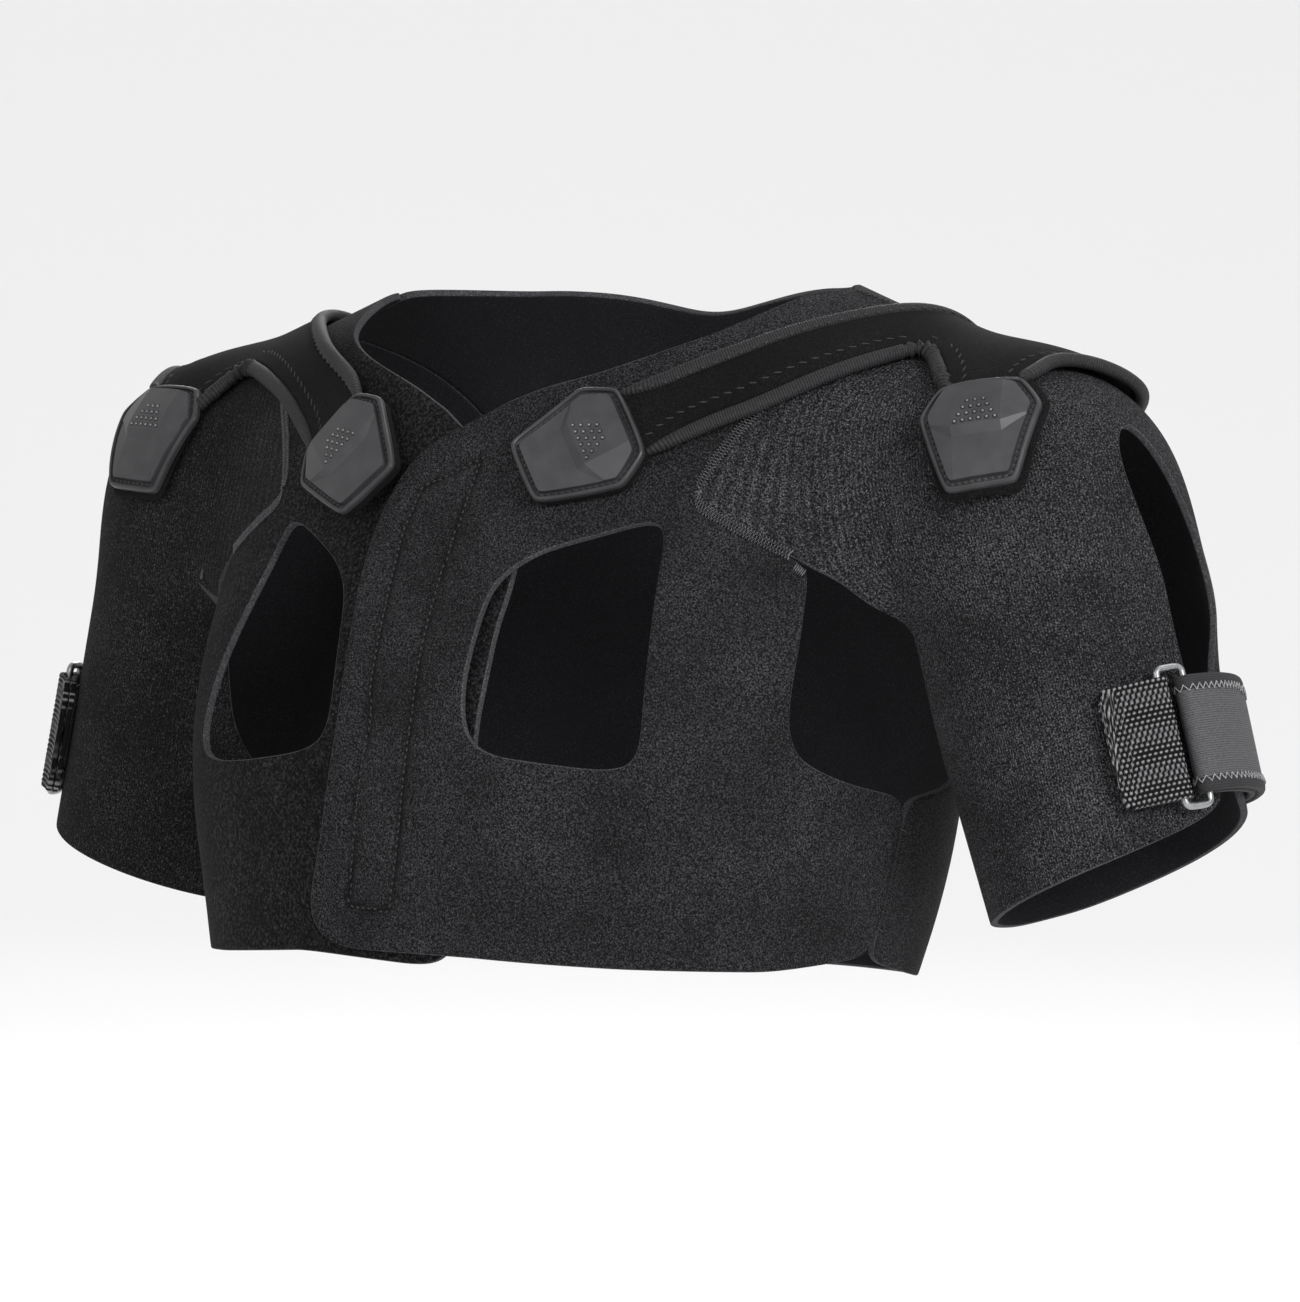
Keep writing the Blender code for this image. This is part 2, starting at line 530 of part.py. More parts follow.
def front_panel(name, side, window, free_edge, neck, lift):
    low_level = window["inner"][0][1]
    high_level = window["inner"][-1][1]
    low_end = between(free_edge, low_level)
    high_end = between(free_edge, high_level)
    free_low = trunk_edge([p for p in free_edge if p[1] < low_level] + [low_end], BAND)
    free_mid = trunk_edge([low_end] + [p for p in free_edge if low_level < p[1] < high_level] + [high_end], TALL)
    free_top = trunk_edge([high_end] + [p for p in free_edge if p[1] > high_level], UPPER)
    sill_start, sill_end = window["bottom"][0], window["bottom"][-1]
    lintel_start, peak = window["top"][0], window["top"][-1]
    hem = (free_edge[0],) + HEM_FRONT[1:]
    hem_lines = [trunk_edge(hem[i:i + 2], n) for i, n in enumerate((CENTRE, ACROSS, DIAGONAL + 1, FLANK))]
    posts = [trunk_edge((hem[1], sill_start), BAND), trunk_edge((hem[2], sill_end), BAND),
             trunk_edge((hem[3], HOLE_FRONT[0]), BAND), trunk_edge((hem[4], HOLE_UNDER[-1]), BAND)]
    sill_in = trunk_edge((low_end, sill_start), CENTRE)
    sill = trunk_edge(window["bottom"], ACROSS)
    sill_out = trunk_edge((sill_end, HOLE_FRONT[0]), DIAGONAL + 1)
    sill_flank = trunk_edge(HOLE_UNDER, FLANK)
    diagonal = np.vstack([[peak], seam_places(side, SEAM_DIAGONAL, DIAGONAL)])
    seam = np.vstack([[peak], seam_places(side, SEAM_TOP, SHOULDER)[::-1]])
    hole = trunk_edge(HOLE_FRONT + (tuple(diagonal[-1]),), TALL)
    lintel_in = trunk_edge((high_end, lintel_start), CENTRE)
    lintel = trunk_edge(window["top"], ACROSS)
    collar = [trunk_edge((lintel_start, neck[2]), UPPER), trunk_edge((peak, neck[-1]), UPPER),
              trunk_edge((seam[-1], NECK_SIDE[-1]), UPPER)]
    grids = [
        patch(hem_lines[0], sill_in, free_low, posts[0]),
        patch(hem_lines[1], sill, posts[0], posts[1]),
        patch(hem_lines[2], sill_out, posts[1], posts[2]),
        patch(hem_lines[3], sill_flank, posts[2], posts[3]),
        patch(sill_in, lintel_in, free_mid, trunk_edge(window["inner"], TALL)),
        patch(sill_out, diagonal, trunk_edge(window["outer"], TALL), hole),
        patch(lintel_in, trunk_edge(neck[:3], CENTRE), free_top, collar[0]),
        patch(lintel, trunk_edge(neck[2:], ACROSS), collar[0], collar[1]),
        patch(seam, trunk_edge(NECK_SIDE, SHOULDER + 1), collar[1], collar[2]),
    ]
    grids = [on_trunk(grid * np.array([side, 1.0])) for grid in grids]
    return sheet(name, grids, NEOPRENE, PANEL_THICK, lift)


front_panel("front_panel_left", 1, WINDOW_LEFT, FLAP_EDGE, NECK_FRONT, flap_rise)
front_panel("front_panel_right", -1, WINDOW_RIGHT, UNDER_EDGE, NECK_UNDER, 0.0)

# Hook strip sewn behind the left front, between the two fronts
hook = patch(trunk_edge((HOOK_OUTER[0], HOOK_INNER[0]), 3), trunk_edge((HOOK_OUTER[-1], HOOK_INNER[-1]), 3),
             trunk_edge(HOOK_OUTER, 14), trunk_edge(HOOK_INNER, 14))
sheet("front_hook_strip", [on_trunk(hook)], HOOK_TAPE, HOOK_THICK, PANEL_THICK + LAYER_GAP)


# Back panel with the band sides
def back_half(side):
    diagonal = seam_places(side, mirror_turn(SEAM_DIAGONAL), DIAGONAL)[::-1]
    seam = seam_places(side, mirror_turn(SEAM_TOP), SHOULDER)[::-1]
    tip, corner = diagonal[0], diagonal[-1]
    floor = trunk_edge((HOLE_REAR[0], (180, HOLE_REAR[0][1])), BACK)
    waist = trunk_edge((tip, (180, REAR_TIP_LEVEL)), BACK)
    yoke = trunk_edge((corner, (180, REAR_YOKE_LEVEL)), BACK)
    post = trunk_edge((HEM_SIDE[-1], HOLE_REAR[0]), BAND)
    collar = trunk_edge((corner, NECK_BACK[0]), UPPER)
    grids = [
        patch(trunk_edge(HEM_SIDE, FLANK), trunk_edge(HOLE_BEHIND, FLANK),
              trunk_edge((HEM_SIDE[0], HOLE_BEHIND[0]), BAND), post),
        patch(trunk_edge(HEM_BACK, BACK), floor, post, trunk_edge((HEM_BACK[-1], floor[-1]), BAND)),
        patch(floor, waist, trunk_edge(HOLE_REAR + (tuple(tip),), 5), trunk_edge((floor[-1], waist[-1]), 5)),
        patch(waist, yoke, diagonal, trunk_edge((waist[-1], yoke[-1]), DIAGONAL)),
        patch(yoke, trunk_edge(NECK_BACK, BACK), collar, trunk_edge((yoke[-1], NECK_BACK[-1]), UPPER)),
        patch(seam, trunk_edge(NECK_REAR[::-1], SHOULDER), collar, trunk_edge((seam[-1], NECK_REAR[0]), UPPER)),
    ]
    return [on_trunk(grid * np.array([side, 1.0])) for grid in grids]


sheet("back_panel", back_half(1) + back_half(-1), NEOPRENE, PANEL_THICK)


# Sleeves
def sleeve_rise(side):
    def rise(points):
        place = sleeve_place(side, points)
        along = np.clip(1 - ((place[:, 0] - FLARE_ALONG) / FLARE_REACH) ** 2, 0, 1)
        turn = np.clip((place[:, 1] - FLARE_START) / (FLARE_FULL - FLARE_START), 0, 1)
        turn *= (place[:, 1] < 0) & (place[:, 1] > FLARE_START)
        return REAR_FLARE * along ** 2 * turn * turn * (3 - 2 * turn)

    return rise


def sleeve_half(side, turned, slit, slit_low, hem):
    def places(points, count):
        return sleeve_edge([(a, b * turned) for a, b in points], count)

    corners = [(line[0][0], line[0][1] * turned) for line in (HOLE_SLEEVE, HOLE_SLEEVE_LOW, HOLE_SLEEVE_INNER)]
    rib = sleeve_edge((CREST[1], corners[0]), SHOULDER)
    rib_mid = sleeve_edge((slit[0], corners[1]), SHOULDER)
    rib_low = sleeve_edge((slit[-1], corners[2]), SHOULDER)
    inner_line = sleeve_edge((corners[2], hem[-1]), BAND)
    grids = [
        patch(places(SEAM_TOP, SHOULDER), rib, sleeve_edge(CREST[:2], DIAGONAL), places(SEAM_DIAGONAL, DIAGONAL)),
        patch(rib, rib_mid, sleeve_edge(CREST[1:], 3), places(HOLE_SLEEVE, 3)),
        patch(rib_mid, rib_low, sleeve_edge(slit, 7), places(HOLE_SLEEVE_LOW, 7)),
        patch(rib_low, sleeve_edge(hem, SHOULDER), sleeve_edge(slit_low, BAND), inner_line),
        patch(places(HOLE_SLEEVE_INNER, 3), sleeve_edge((hem[-1], (HEM_SLEEVE_INNER, 180 * turned)), 3), inner_line,
              places((HOLE_SLEEVE_INNER[-1], (HEM_SLEEVE_INNER, 180)), BAND)),
    ]
    return [on_sleeve(side, grid) for grid in grids]


for side, word in ((1, "left"), (-1, "right")):
    halves = sleeve_half(side, 1, SLIT_FRONT, SLIT_FRONT_LOW, HEM_SLEEVE_FRONT)
    halves += sleeve_half(side, -1, SLIT_REAR, SLIT_REAR_LOW, HEM_SLEEVE_REAR)
    sheet("sleeve_" + word, halves, SLEEVE_CLOTH, PANEL_THICK, sleeve_rise(side), "sleeve")


# Moulded pads at the strap ends
def pad_rows(side, row, columns, inset=0.0):
    # rows across the pad from its foot to the strap, on the form
    along, turn, lean = row
    centre = sleeve_point(side, [(along, turn)])
    out = normals(centre)[0]
    up = np.array([0.0, 0.0, 1.0]) - out[2] * out
    up /= np.linalg.norm(up)
    across = np.cross(up, out)
    lean = math.radians(lean)
    pad_up = math.cos(lean) * up + side * math.sin(lean) * across
    pad_across = side * math.cos(lean) * across - math.sin(lean) * up
    rows = []
    for share, width in PAD_ROWS:
        y = (share - 0.5) * (PAD_LENGTH - 2 * inset)
        x = np.linspace(-1, 1, columns + 1) * (width * PAD_HALF_WIDTH - inset)
        places = centre + x[:, None] * pad_across + y * pad_up
        rows.append(leave_form(places - 0.02 * out, np.tile(out, (len(x), 1)), "both", 0.05, 40))
    return np.array(rows)


def moved(side, line, amount):
    # a line on the form moved sideways along the form
    forward = np.gradient(line, axis=0)
    across = np.cross(forward, normals(line))
    across /= np.linalg.norm(across, axis=1, keepdims=True)
    return sleeve_place(side, line + across * np.reshape(amount, (-1, 1)))


def strap_rise(points):
    return PANEL_THICK + STRAP_GAP + flap_rise(points)


def binding(name, side, line, wide, tips):
    # a flat strip from the line to the same line moved sideways, drawn in to a tip where it meets a pad corner
    inner = moved(side, line, wide)
    line = sleeve_place(side, line)
    for (end, beside), corner in zip(((0, 1), (-1, -2)), tips):
        inner[end] = corner + BINDING_TIP * (inner[beside] - corner)
        line[end] = corner + BINDING_TIP * (line[beside] - corner)
    strip = on_sleeve(side, np.stack([line, inner], 1))
    sheet(name, [strip], BINDING_CLOTH, BINDING_THICK, strap_rise, "both", 0.0)


def strap(side, word, table, chest_row, arm_row):
    chest_pad = pad_rows(side, chest_row, LEG_COLUMNS)
    arm_pad = pad_rows(side, arm_row, ARM_LEG_COLUMNS)
    chest_top, arm_top = sleeve_place(side, chest_pad[-1]), sleeve_place(side, arm_pad[-1])
    low = sleeve_point(side, sleeve_edge(table["low"], LEG_ROWS))
    crotch = sleeve_point(side, sleeve_edge(table["crotch"], FORK_ROWS))
    neck = sleeve_point(side, sleeve_edge(table["neck"], LEG_ROWS + BACK_ROWS))
    outer = sleeve_point(side, sleeve_edge(table["outer"], FORK_ROWS + BACK_ROWS))
    fork = np.vstack([low, crotch[::-1][1:]])
    inward = -side * (BINDING_WIDE + SEAM_GAP)
    fork_cloth = moved(side, fork, inward)
    low_cloth, crotch_cloth = fork_cloth[:LEG_ROWS + 1], fork_cloth[LEG_ROWS:][::-1]
    neck_cloth = moved(side, neck, -inward)
    outer_cloth = moved(side, outer, inward)
    low_cloth[0], neck_cloth[0] = chest_top[-1], chest_top[0]
    crotch_cloth[0], outer_cloth[0] = arm_top[0], arm_top[-1]
    middle = sleeve_edge([tuple(low_cloth[-1])] + list(table["middle"][1:]), BACK_ROWS)
    chest_side = np.vstack([low_cloth, middle[1:]])
    arm_side = np.vstack([crotch_cloth, middle[1:]])
    back_chest = np.linspace(neck_cloth[-1], middle[-1], LEG_COLUMNS + 1)
    back_arm = np.linspace(middle[-1], outer_cloth[-1], ARM_LEG_COLUMNS + 1)
    chest_leg = on_sleeve(side, patch(chest_top, back_chest, neck_cloth, chest_side))
    arm_leg = on_sleeve(side, patch(arm_top, back_arm, arm_side, outer_cloth))
    chest_leg[0], arm_leg[0] = chest_pad[-1], arm_pad[-1]
    grids = [chest_pad, chest_leg, arm_pad, arm_leg]
    sheet("shoulder_strap_" + word, grids, STRAP_CLOTH, STRAP_THICK, strap_rise, "both", 0.0)
    wide = -side * BINDING_WIDE
    binding("strap_binding_neck_" + word, side, neck, -wide, (chest_top[0],))
    binding("strap_binding_fork_" + word, side, fork, wide, (chest_top[-1], arm_top[0]))
    binding("strap_binding_outer_" + word, side, outer, wide, (arm_top[-1],))


def badge(name, side, row):
    rows = pad_rows(side, row, BADGE_COLUMNS, PAD_INSET)
    across = np.abs(np.linspace(-1, 1, BADGE_COLUMNS + 1))[None, :]
    along = np.abs(np.array([share for share, _ in PAD_ROWS]) * 2 - 1)[:, None]
    rim = np.maximum(across, along)
    crown = np.clip((1 - rim) / 0.35, 0, 1)
    tall = PAD_EDGE_THICK + (PAD_CROWN_THICK - PAD_EDGE_THICK) * crown
    heights = {tuple(np.round(place, 7)): high for place, high in zip(rows.reshape(-1, 3), tall.reshape(-1))}

    def thick(points):
        table = np.array(list(heights))
        values = np.array(list(heights.values()))
        return values[[int(np.argmin(((table - point) ** 2).sum(1))) for point in points]]

    def rise(points):
        return strap_rise(points) + STRAP_THICK + LAYER_GAP

    sheet(name, [rows], PAD_RUBBER, thick, rise, "both", 0.0)


for side, word, table in ((1, "left", STRAP_LEFT), (-1, "right", STRAP_RIGHT)):
    strap(side, word, table, CHEST_PAD_ROWS[side], ARM_PAD_ROWS[side])
    badge("badge_chest_" + word, side, CHEST_PAD_ROWS[side])
    badge("badge_arm_" + word, side, ARM_PAD_ROWS[side])


# Ring, webbing tab and arm strap
def raised(side, along, turn, lift):
    places = np.stack([np.full(len(turn), along), turn], 1)
    base = sleeve_point(side, places)
    return base + normals(base, "sleeve") * np.reshape(lift, (-1, 1))


def band_over(name, side, path, span, thick, made):
    # a ribbon whose path round the arm is given as turn and height, repeated down the arm
    turns, lifts = np.array(path).T
    alongs = RING_ALONG + np.linspace(-0.5, 0.5, BAND_ROWS + 1) * span / SLEEVE_RUN
    grid = np.array([raised(side, along, turns, lifts) for along in alongs])
    bm = bmesh.new()
    grid_into(bm, grid)
    thing = new_object(name, bm, made)
    walls = thing.modifiers.new("thickness", "SOLIDIFY")
    walls.thickness = thick
    walls.offset = 0.0
    return thing


def loop(turn, thick, away):
    # half turn round a ring bar; away is +1 when the ribbon comes from the front
    radius = RING_BAR / 2 + RING_CLEARANCE + thick / 2
    angles = np.radians(np.linspace(-90, 90, LOOP_STEPS + 1))
    per_metre = math.degrees(1 / (ARM_TOP_RADIUS + RING_LIFT))
    turns = turn - away * radius * np.cos(angles) * per_metre
    return list(zip(turns, RING_LIFT + radius * np.sin(angles)))


for side, word in ((1, "left"), (-1, "right")):
    half_turn = math.degrees((RING_WIDE - RING_BAR) / 2 / (ARM_TOP_RADIUS + RING_LIFT))
    front_bar, rear_bar = RING_TURN + half_turn, RING_TURN - half_turn
    floor = PANEL_THICK + LAYER_GAP
    low = floor + WEBBING_THICK / 2
    high = low + WEBBING_THICK + LAYER_GAP
    tab = [(front_bar + turn, low + rise) for turn, rise, _ in TAB_ROWS]
    tab += loop(front_bar, WEBBING_THICK, 1)
    tab += [(front_bar + turn, high + rise) for turn, _, rise in TAB_ROWS[::-1]]
    band_over("webbing_tab_" + word, side, tab, WEBBING_SPAN, WEBBING_THICK, WEBBING)

    low = floor + ARM_STRAP_THICK / 2
    high = low + ARM_STRAP_THICK + LAYER_GAP
    strip = [(rear_bar - turn, low) for turn in np.linspace(ARM_STRAP_SEWN, ARM_STRAP_LEAVES, 9)]
    strip += loop(rear_bar, ARM_STRAP_THICK, -1)
    strip += [(rear_bar - turn, high + rise) for turn, rise in ARM_STRAP_ROWS]
    first = ARM_STRAP_ROWS[-1][0] + ARM_STRAP_STEP / 2
    strip += [(rear_bar - turn, high) for turn in np.linspace(first, ARM_STRAP_SEWN + ARM_STRAP_STEP / 5, 5)]
    strip += [(rear_bar - turn, low) for turn in np.linspace(ARM_STRAP_SEWN + ARM_STRAP_STEP, ARM_STRAP_END, 5)]
    band_over("arm_strap_" + word, side, strip, ARM_STRAP_SPAN, ARM_STRAP_THICK, ARM_STRAP_CLOTH)

    bars = raised(side, RING_ALONG, np.array([rear_bar, front_bar]), RING_LIFT)
    centre = bars.mean(0)
    half_wide = np.linalg.norm(bars[1] - centre)
    half_tall = (RING_TALL - RING_BAR) / 2
    ends = [raised(side, RING_ALONG + step / SLEEVE_RUN, np.array([rear_bar, front_bar]), RING_LIFT).mean(0)
            for step in (half_tall, -half_tall)]
    wide = (bars[1] - centre) / half_wide
    tall = (ends[0] - ends[1]) / np.linalg.norm(ends[0] - ends[1])
    radius = RING_CORNER - RING_BAR / 2
    places = []
    for quarter, (across, along) in enumerate(((1, 1), (-1, 1), (-1, -1), (1, -1))):
        for step in range(RING_CORNER_STEPS + 1):
            angle = math.radians(90 * (quarter + step / RING_CORNER_STEPS))
            x = across * (half_wide - radius) + radius * math.cos(angle)
            y = along * (half_tall - radius) + radius * math.sin(angle)
            places.append(centre + wide * x + tall * y)
    curve = bpy.data.curves.new("ring_" + word, "CURVE")
    curve.dimensions = "3D"
    curve.bevel_depth = RING_BAR / 2
    curve.bevel_resolution = 2
    spline = curve.splines.new("POLY")
    spline.points.add(len(places) - 1)
    for point, place in zip(spline.points, places):
        point.co = (*place, 1.0)
    spline.use_cyclic_u = True
    curve.materials.append(RING_METAL)
    PARTS.objects.link(bpy.data.objects.new("ring_" + word, curve))
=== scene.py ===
# Neoprene shoulder brace for both shoulders, shown in the shape it has when worn. Two fronts, a back panel
# and two short sleeves are flat-seamed from 3 mm laminated neoprene; a forked knit strap crosses each
# shoulder and ends in moulded pads, and a jersey-faced strap closes each sleeve through a metal ring.
import math

import bmesh
import bpy
import numpy as np
from mathutils import Matrix, Vector
from mathutils.bvhtree import BVHTree


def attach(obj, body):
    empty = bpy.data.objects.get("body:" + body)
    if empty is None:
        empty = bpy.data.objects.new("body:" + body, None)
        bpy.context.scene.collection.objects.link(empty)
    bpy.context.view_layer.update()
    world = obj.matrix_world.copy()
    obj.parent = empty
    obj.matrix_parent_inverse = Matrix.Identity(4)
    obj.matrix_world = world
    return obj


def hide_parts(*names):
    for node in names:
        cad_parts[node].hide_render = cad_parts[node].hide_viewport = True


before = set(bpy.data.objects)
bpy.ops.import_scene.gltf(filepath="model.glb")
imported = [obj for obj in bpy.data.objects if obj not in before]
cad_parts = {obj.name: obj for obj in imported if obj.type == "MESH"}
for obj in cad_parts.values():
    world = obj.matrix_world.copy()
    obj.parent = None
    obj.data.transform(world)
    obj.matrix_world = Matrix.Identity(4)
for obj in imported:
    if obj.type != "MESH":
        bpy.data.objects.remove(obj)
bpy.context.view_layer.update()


# Camera and studio. The brace is seen from the wearer's left front, level with the chest, through a long
# lens; the picture is 1300 x 1302.
PICTURE_WIDE, PICTURE_HIGH = 1300, 1302
VIEW_AZIMUTH, VIEW_ELEVATION = math.radians(37.4), math.radians(1.6)
VIEW_DISTANCE = 3.5
VIEW_PIXELS = 8795.5
SENSOR = 36.0
VIEW_RIGHT = Vector((math.cos(VIEW_AZIMUTH), math.sin(VIEW_AZIMUTH), 0))
VIEW_BACK = Vector((math.sin(VIEW_AZIMUTH) * math.cos(VIEW_ELEVATION),
                    -math.cos(VIEW_AZIMUTH) * math.cos(VIEW_ELEVATION), math.sin(VIEW_ELEVATION)))
VIEW_UP = VIEW_BACK.cross(VIEW_RIGHT)
EYE = VIEW_RIGHT * 0.0243 + Vector((0, 0, -0.1241)) + VIEW_BACK * VIEW_DISTANCE

camera = bpy.data.objects.new("camera", bpy.data.cameras.new("camera"))
camera.data.sensor_width = SENSOR
camera.data.lens = VIEW_PIXELS * SENSOR / PICTURE_HIGH
camera.data.clip_end = 50
camera.matrix_world = Matrix.Translation(EYE) @ Matrix((VIEW_RIGHT, VIEW_UP, VIEW_BACK)).transposed().to_4x4()
bpy.context.scene.collection.objects.link(camera)
bpy.context.scene.camera = camera


def picture_ray(x, y):
    way = VIEW_RIGHT * (x - PICTURE_WIDE / 2) - VIEW_UP * (y - PICTURE_HIGH / 2) - VIEW_BACK * VIEW_PIXELS
    return EYE, way.normalized()


def linear(hex_code):
    parts = [int(hex_code[i:i + 2], 16) / 255 for i in (1, 3, 5)]
    return (*[c / 12.92 if c <= 0.04045 else ((c + 0.055) / 1.055) ** 2.4 for c in parts], 1.0)


def node(tree, kind, inputs=None, **settings):
    made = tree.nodes.new(kind)
    for key, value in settings.items():
        setattr(made, key, value)
    for socket, value in (inputs or {}).items():
        if isinstance(value, bpy.types.NodeSocket):
            tree.links.new(value, made.inputs[socket])
        else:
            made.inputs[socket].default_value = value
    return made


def blank_material(name):
    made = bpy.data.materials.new(name)
    made.use_nodes = True
    made.node_tree.nodes.clear()
    return made, made.node_tree


# a wide paper sweep: level under the brace, curving up behind it
FLOOR_DROP, SWEEP_START, SWEEP_RISE = 0.62, 1.6, 0.16
floor_bm = bmesh.new()
bmesh.ops.create_grid(floor_bm, x_segments=80, y_segments=80, size=10)
for vert in floor_bm.verts:
    behind = max(0.0, -vert.co.dot(VIEW_BACK) - SWEEP_START)
    vert.co.z = SWEEP_RISE * behind ** 2 - FLOOR_DROP
for face in floor_bm.faces:
    face.smooth = True
floor = bpy.data.objects.new("floor", bpy.data.meshes.new("floor"))
floor_bm.to_mesh(floor.data)
floor_bm.free()
bpy.context.scene.collection.objects.link(floor)
paper, tree = blank_material("seamless_paper")
shader = node(tree, "ShaderNodeBsdfPrincipled", {"Base Color": linear("#f4f4f4"), "Roughness": 0.9})
node(tree, "ShaderNodeOutputMaterial", {"Surface": shader.outputs[0]})
floor.data.materials.append(paper)

world = bpy.data.worlds.new("studio")
world.use_nodes = True
world.node_tree.nodes["Background"].inputs["Color"].default_value = (1, 1, 1, 1)
world.node_tree.nodes["Background"].inputs["Strength"].default_value = 0.85
bpy.context.scene.world = world
bpy.context.scene.view_settings.view_transform = "Standard"
# softboxes: turn and height seen from the brace (degrees), distance and size (m), power (W)
for label, turn, height, distance, size, power in (
        ("key", 72, 22, 2.2, 0.7, 36), ("front", 8, 20, 2.6, 1.0, 13), ("top", 150, 60, 2.0, 0.8, 8),
        ("back", 215, 25, 2.4, 1.0, 16)):
    lamp = bpy.data.objects.new("softbox_" + label, bpy.data.lights.new("softbox_" + label, "AREA"))
    lamp.data.shape = "DISK"
    lamp.data.size = size
    lamp.data.energy = power
    a, e = math.radians(turn), math.radians(height)
    back = Vector((math.sin(a) * math.cos(e), -math.cos(a) * math.cos(e), math.sin(e)))
    lamp.location = Vector((0, 0, -0.12)) + back * distance
    lamp.rotation_mode = "QUATERNION"
    lamp.rotation_quaternion = back.to_track_quat("Z", "Y")
    bpy.context.scene.collection.objects.link(lamp)


# Fronts, back and sleeves: 3 mm neoprene foam between two knits. The face is brushed to a short pile that
# the hooks grip, the lining is a smooth jersey, and the cut edge shows the grey foam.

# a Wave texture's scale and a sine's factor for a pitch of 1 mm; the size of the worn clouds on the pile
WAVE_MM, SINE_MM, CLOUD_MM = 314.2, 6283.2, 35
# how far a sheet may bend between two faces before it counts as an edge
EDGE_BEND = math.radians(48)
CLOTH_CREASE = 0.85


def pile_cloth(name, dark, light, grain_mm, fleck_mm, rise_mm, twill_mm=0.0, pale=0.5):
    # short brushed pile: matt, with pale fibre tips and a soft sheen at grazing angles
    made, tree = blank_material(name)
    place = node(tree, "ShaderNodeTexCoord").outputs["Object"]
    grain = node(tree, "ShaderNodeTexNoise", {"Vector": place, "Scale": 1000 / grain_mm, "Detail": 3.0,
                                              "Roughness": 0.65})
    fleck = node(tree, "ShaderNodeTexVoronoi", {"Vector": place, "Scale": 1000 / fleck_mm, "Randomness": 1.0})
    cloud = node(tree, "ShaderNodeTexNoise", {"Vector": place, "Scale": 1000 / CLOUD_MM, "Detail": 3.0})
    tips = node(tree, "ShaderNodeMapRange", {"Value": grain.outputs[0], "From Min": 0.45, "From Max": 0.72})
    spots = node(tree, "ShaderNodeMapRange", {"Value": fleck.outputs["Distance"], "From Min": 0.30,
                                              "From Max": 0.06, "To Max": pale})
    worn = node(tree, "ShaderNodeMapRange", {"Value": cloud.outputs[0], "From Min": 0.3, "From Max": 0.75,
                                             "To Min": 0.30, "To Max": 0.9})
    tips = node(tree, "ShaderNodeMath", {0: tips.outputs[0], 1: worn.outputs[0]}, operation="MULTIPLY")
    share = node(tree, "ShaderNodeMath", {0: tips.outputs[0], 1: spots.outputs[0]}, operation="ADD",
                 use_clamp=True)
    # painted shade in a stitched groove: the pale fibre tips are left out there; 0 on open cloth, 1 on the
    # line
    shade = node(tree, "ShaderNodeAttribute", attribute_name="painted_groove_shade").outputs["Fac"]
    open_cloth = node(tree, "ShaderNodeMath", {0: 1.0, 1: shade}, operation="SUBTRACT")
    share = node(tree, "ShaderNodeMath", {0: share.outputs[0], 1: open_cloth.outputs[0]},
                 operation="MULTIPLY")
    height = node(tree, "ShaderNodeMath", {0: grain.outputs[0], 1: spots.outputs[0]}, operation="ADD")
    if twill_mm:
        cloth = node(tree, "ShaderNodeUVMap", uv_map="round_arm").outputs[0]
        rows = node(tree, "ShaderNodeTexWave", {"Vector": cloth, "Scale": WAVE_MM / twill_mm,
                                                "Distortion": 2.0, "Detail": 1.0, "Detail Scale": 3.0})
        lit = node(tree, "ShaderNodeMath", {0: rows.outputs["Fac"], 1: 0.5, 2: 0.5}, operation="MULTIPLY_ADD")
        share = node(tree, "ShaderNodeMath", {0: share.outputs[0], 1: lit.outputs[0]}, operation="MULTIPLY")
        height = node(tree, "ShaderNodeMath", {0: rows.outputs["Fac"], 1: 0.6, 2: height.outputs[0]},
                      operation="MULTIPLY_ADD")
    colour = node(tree, "ShaderNodeMix", {"Factor": share.outputs[0], "A": linear(dark), "B": linear(light)},
                  data_type="RGBA")
    bump = node(tree, "ShaderNodeBump", {"Height": height.outputs[0], "Distance": rise_mm / 1000,
                                         "Strength": 1.0})
    shader = node(tree, "ShaderNodeBsdfPrincipled", {
        "Base Color": colour.outputs["Result"], "Roughness": 0.95, "Normal": bump.outputs[0],
        "Sheen Weight": 0.006, "Sheen Roughness": 0.5, "Specular IOR Level": 0.08})
    node(tree, "ShaderNodeOutputMaterial", {"Surface": shader.outputs[0]})
    return made


def sort_faces(bm):
    # 0 the face, 1 the cut edge, 2 the lining; a sheet's two sides are its two largest smooth stretches
    stretch = {}
    stretches = []
    for face in bm.faces:
        if face in stretch:
            continue
        found, waiting = [], [face]
        stretch[face] = len(stretches)
        while waiting:
            here = waiting.pop()
            found.append(here)
            for edge in here.edges:
                if len(edge.link_faces) == 2 and edge.calc_face_angle() < EDGE_BEND:
                    for other in edge.link_faces:
                        if other not in stretch:
                            stretch[other] = len(stretches)
                            waiting.append(other)
        stretches.append(found)
    stretches.sort(key=lambda found: -sum(face.calc_area() for face in found))
    middle = sum((v.co for v in bm.verts), Vector()) / len(bm.verts)
    sides = [sum(face.normal.dot(face.calc_center_median() - middle) * face.calc_area() for face in found)
             for found in stretches[:2]]
    lining = 0 if sides[0] < sides[-1] else 1
    for rank, found in enumerate(stretches):
        for face in found:
            face.material_index = 1 if rank > 1 else (2 if rank == lining else 0)
            face.smooth = True


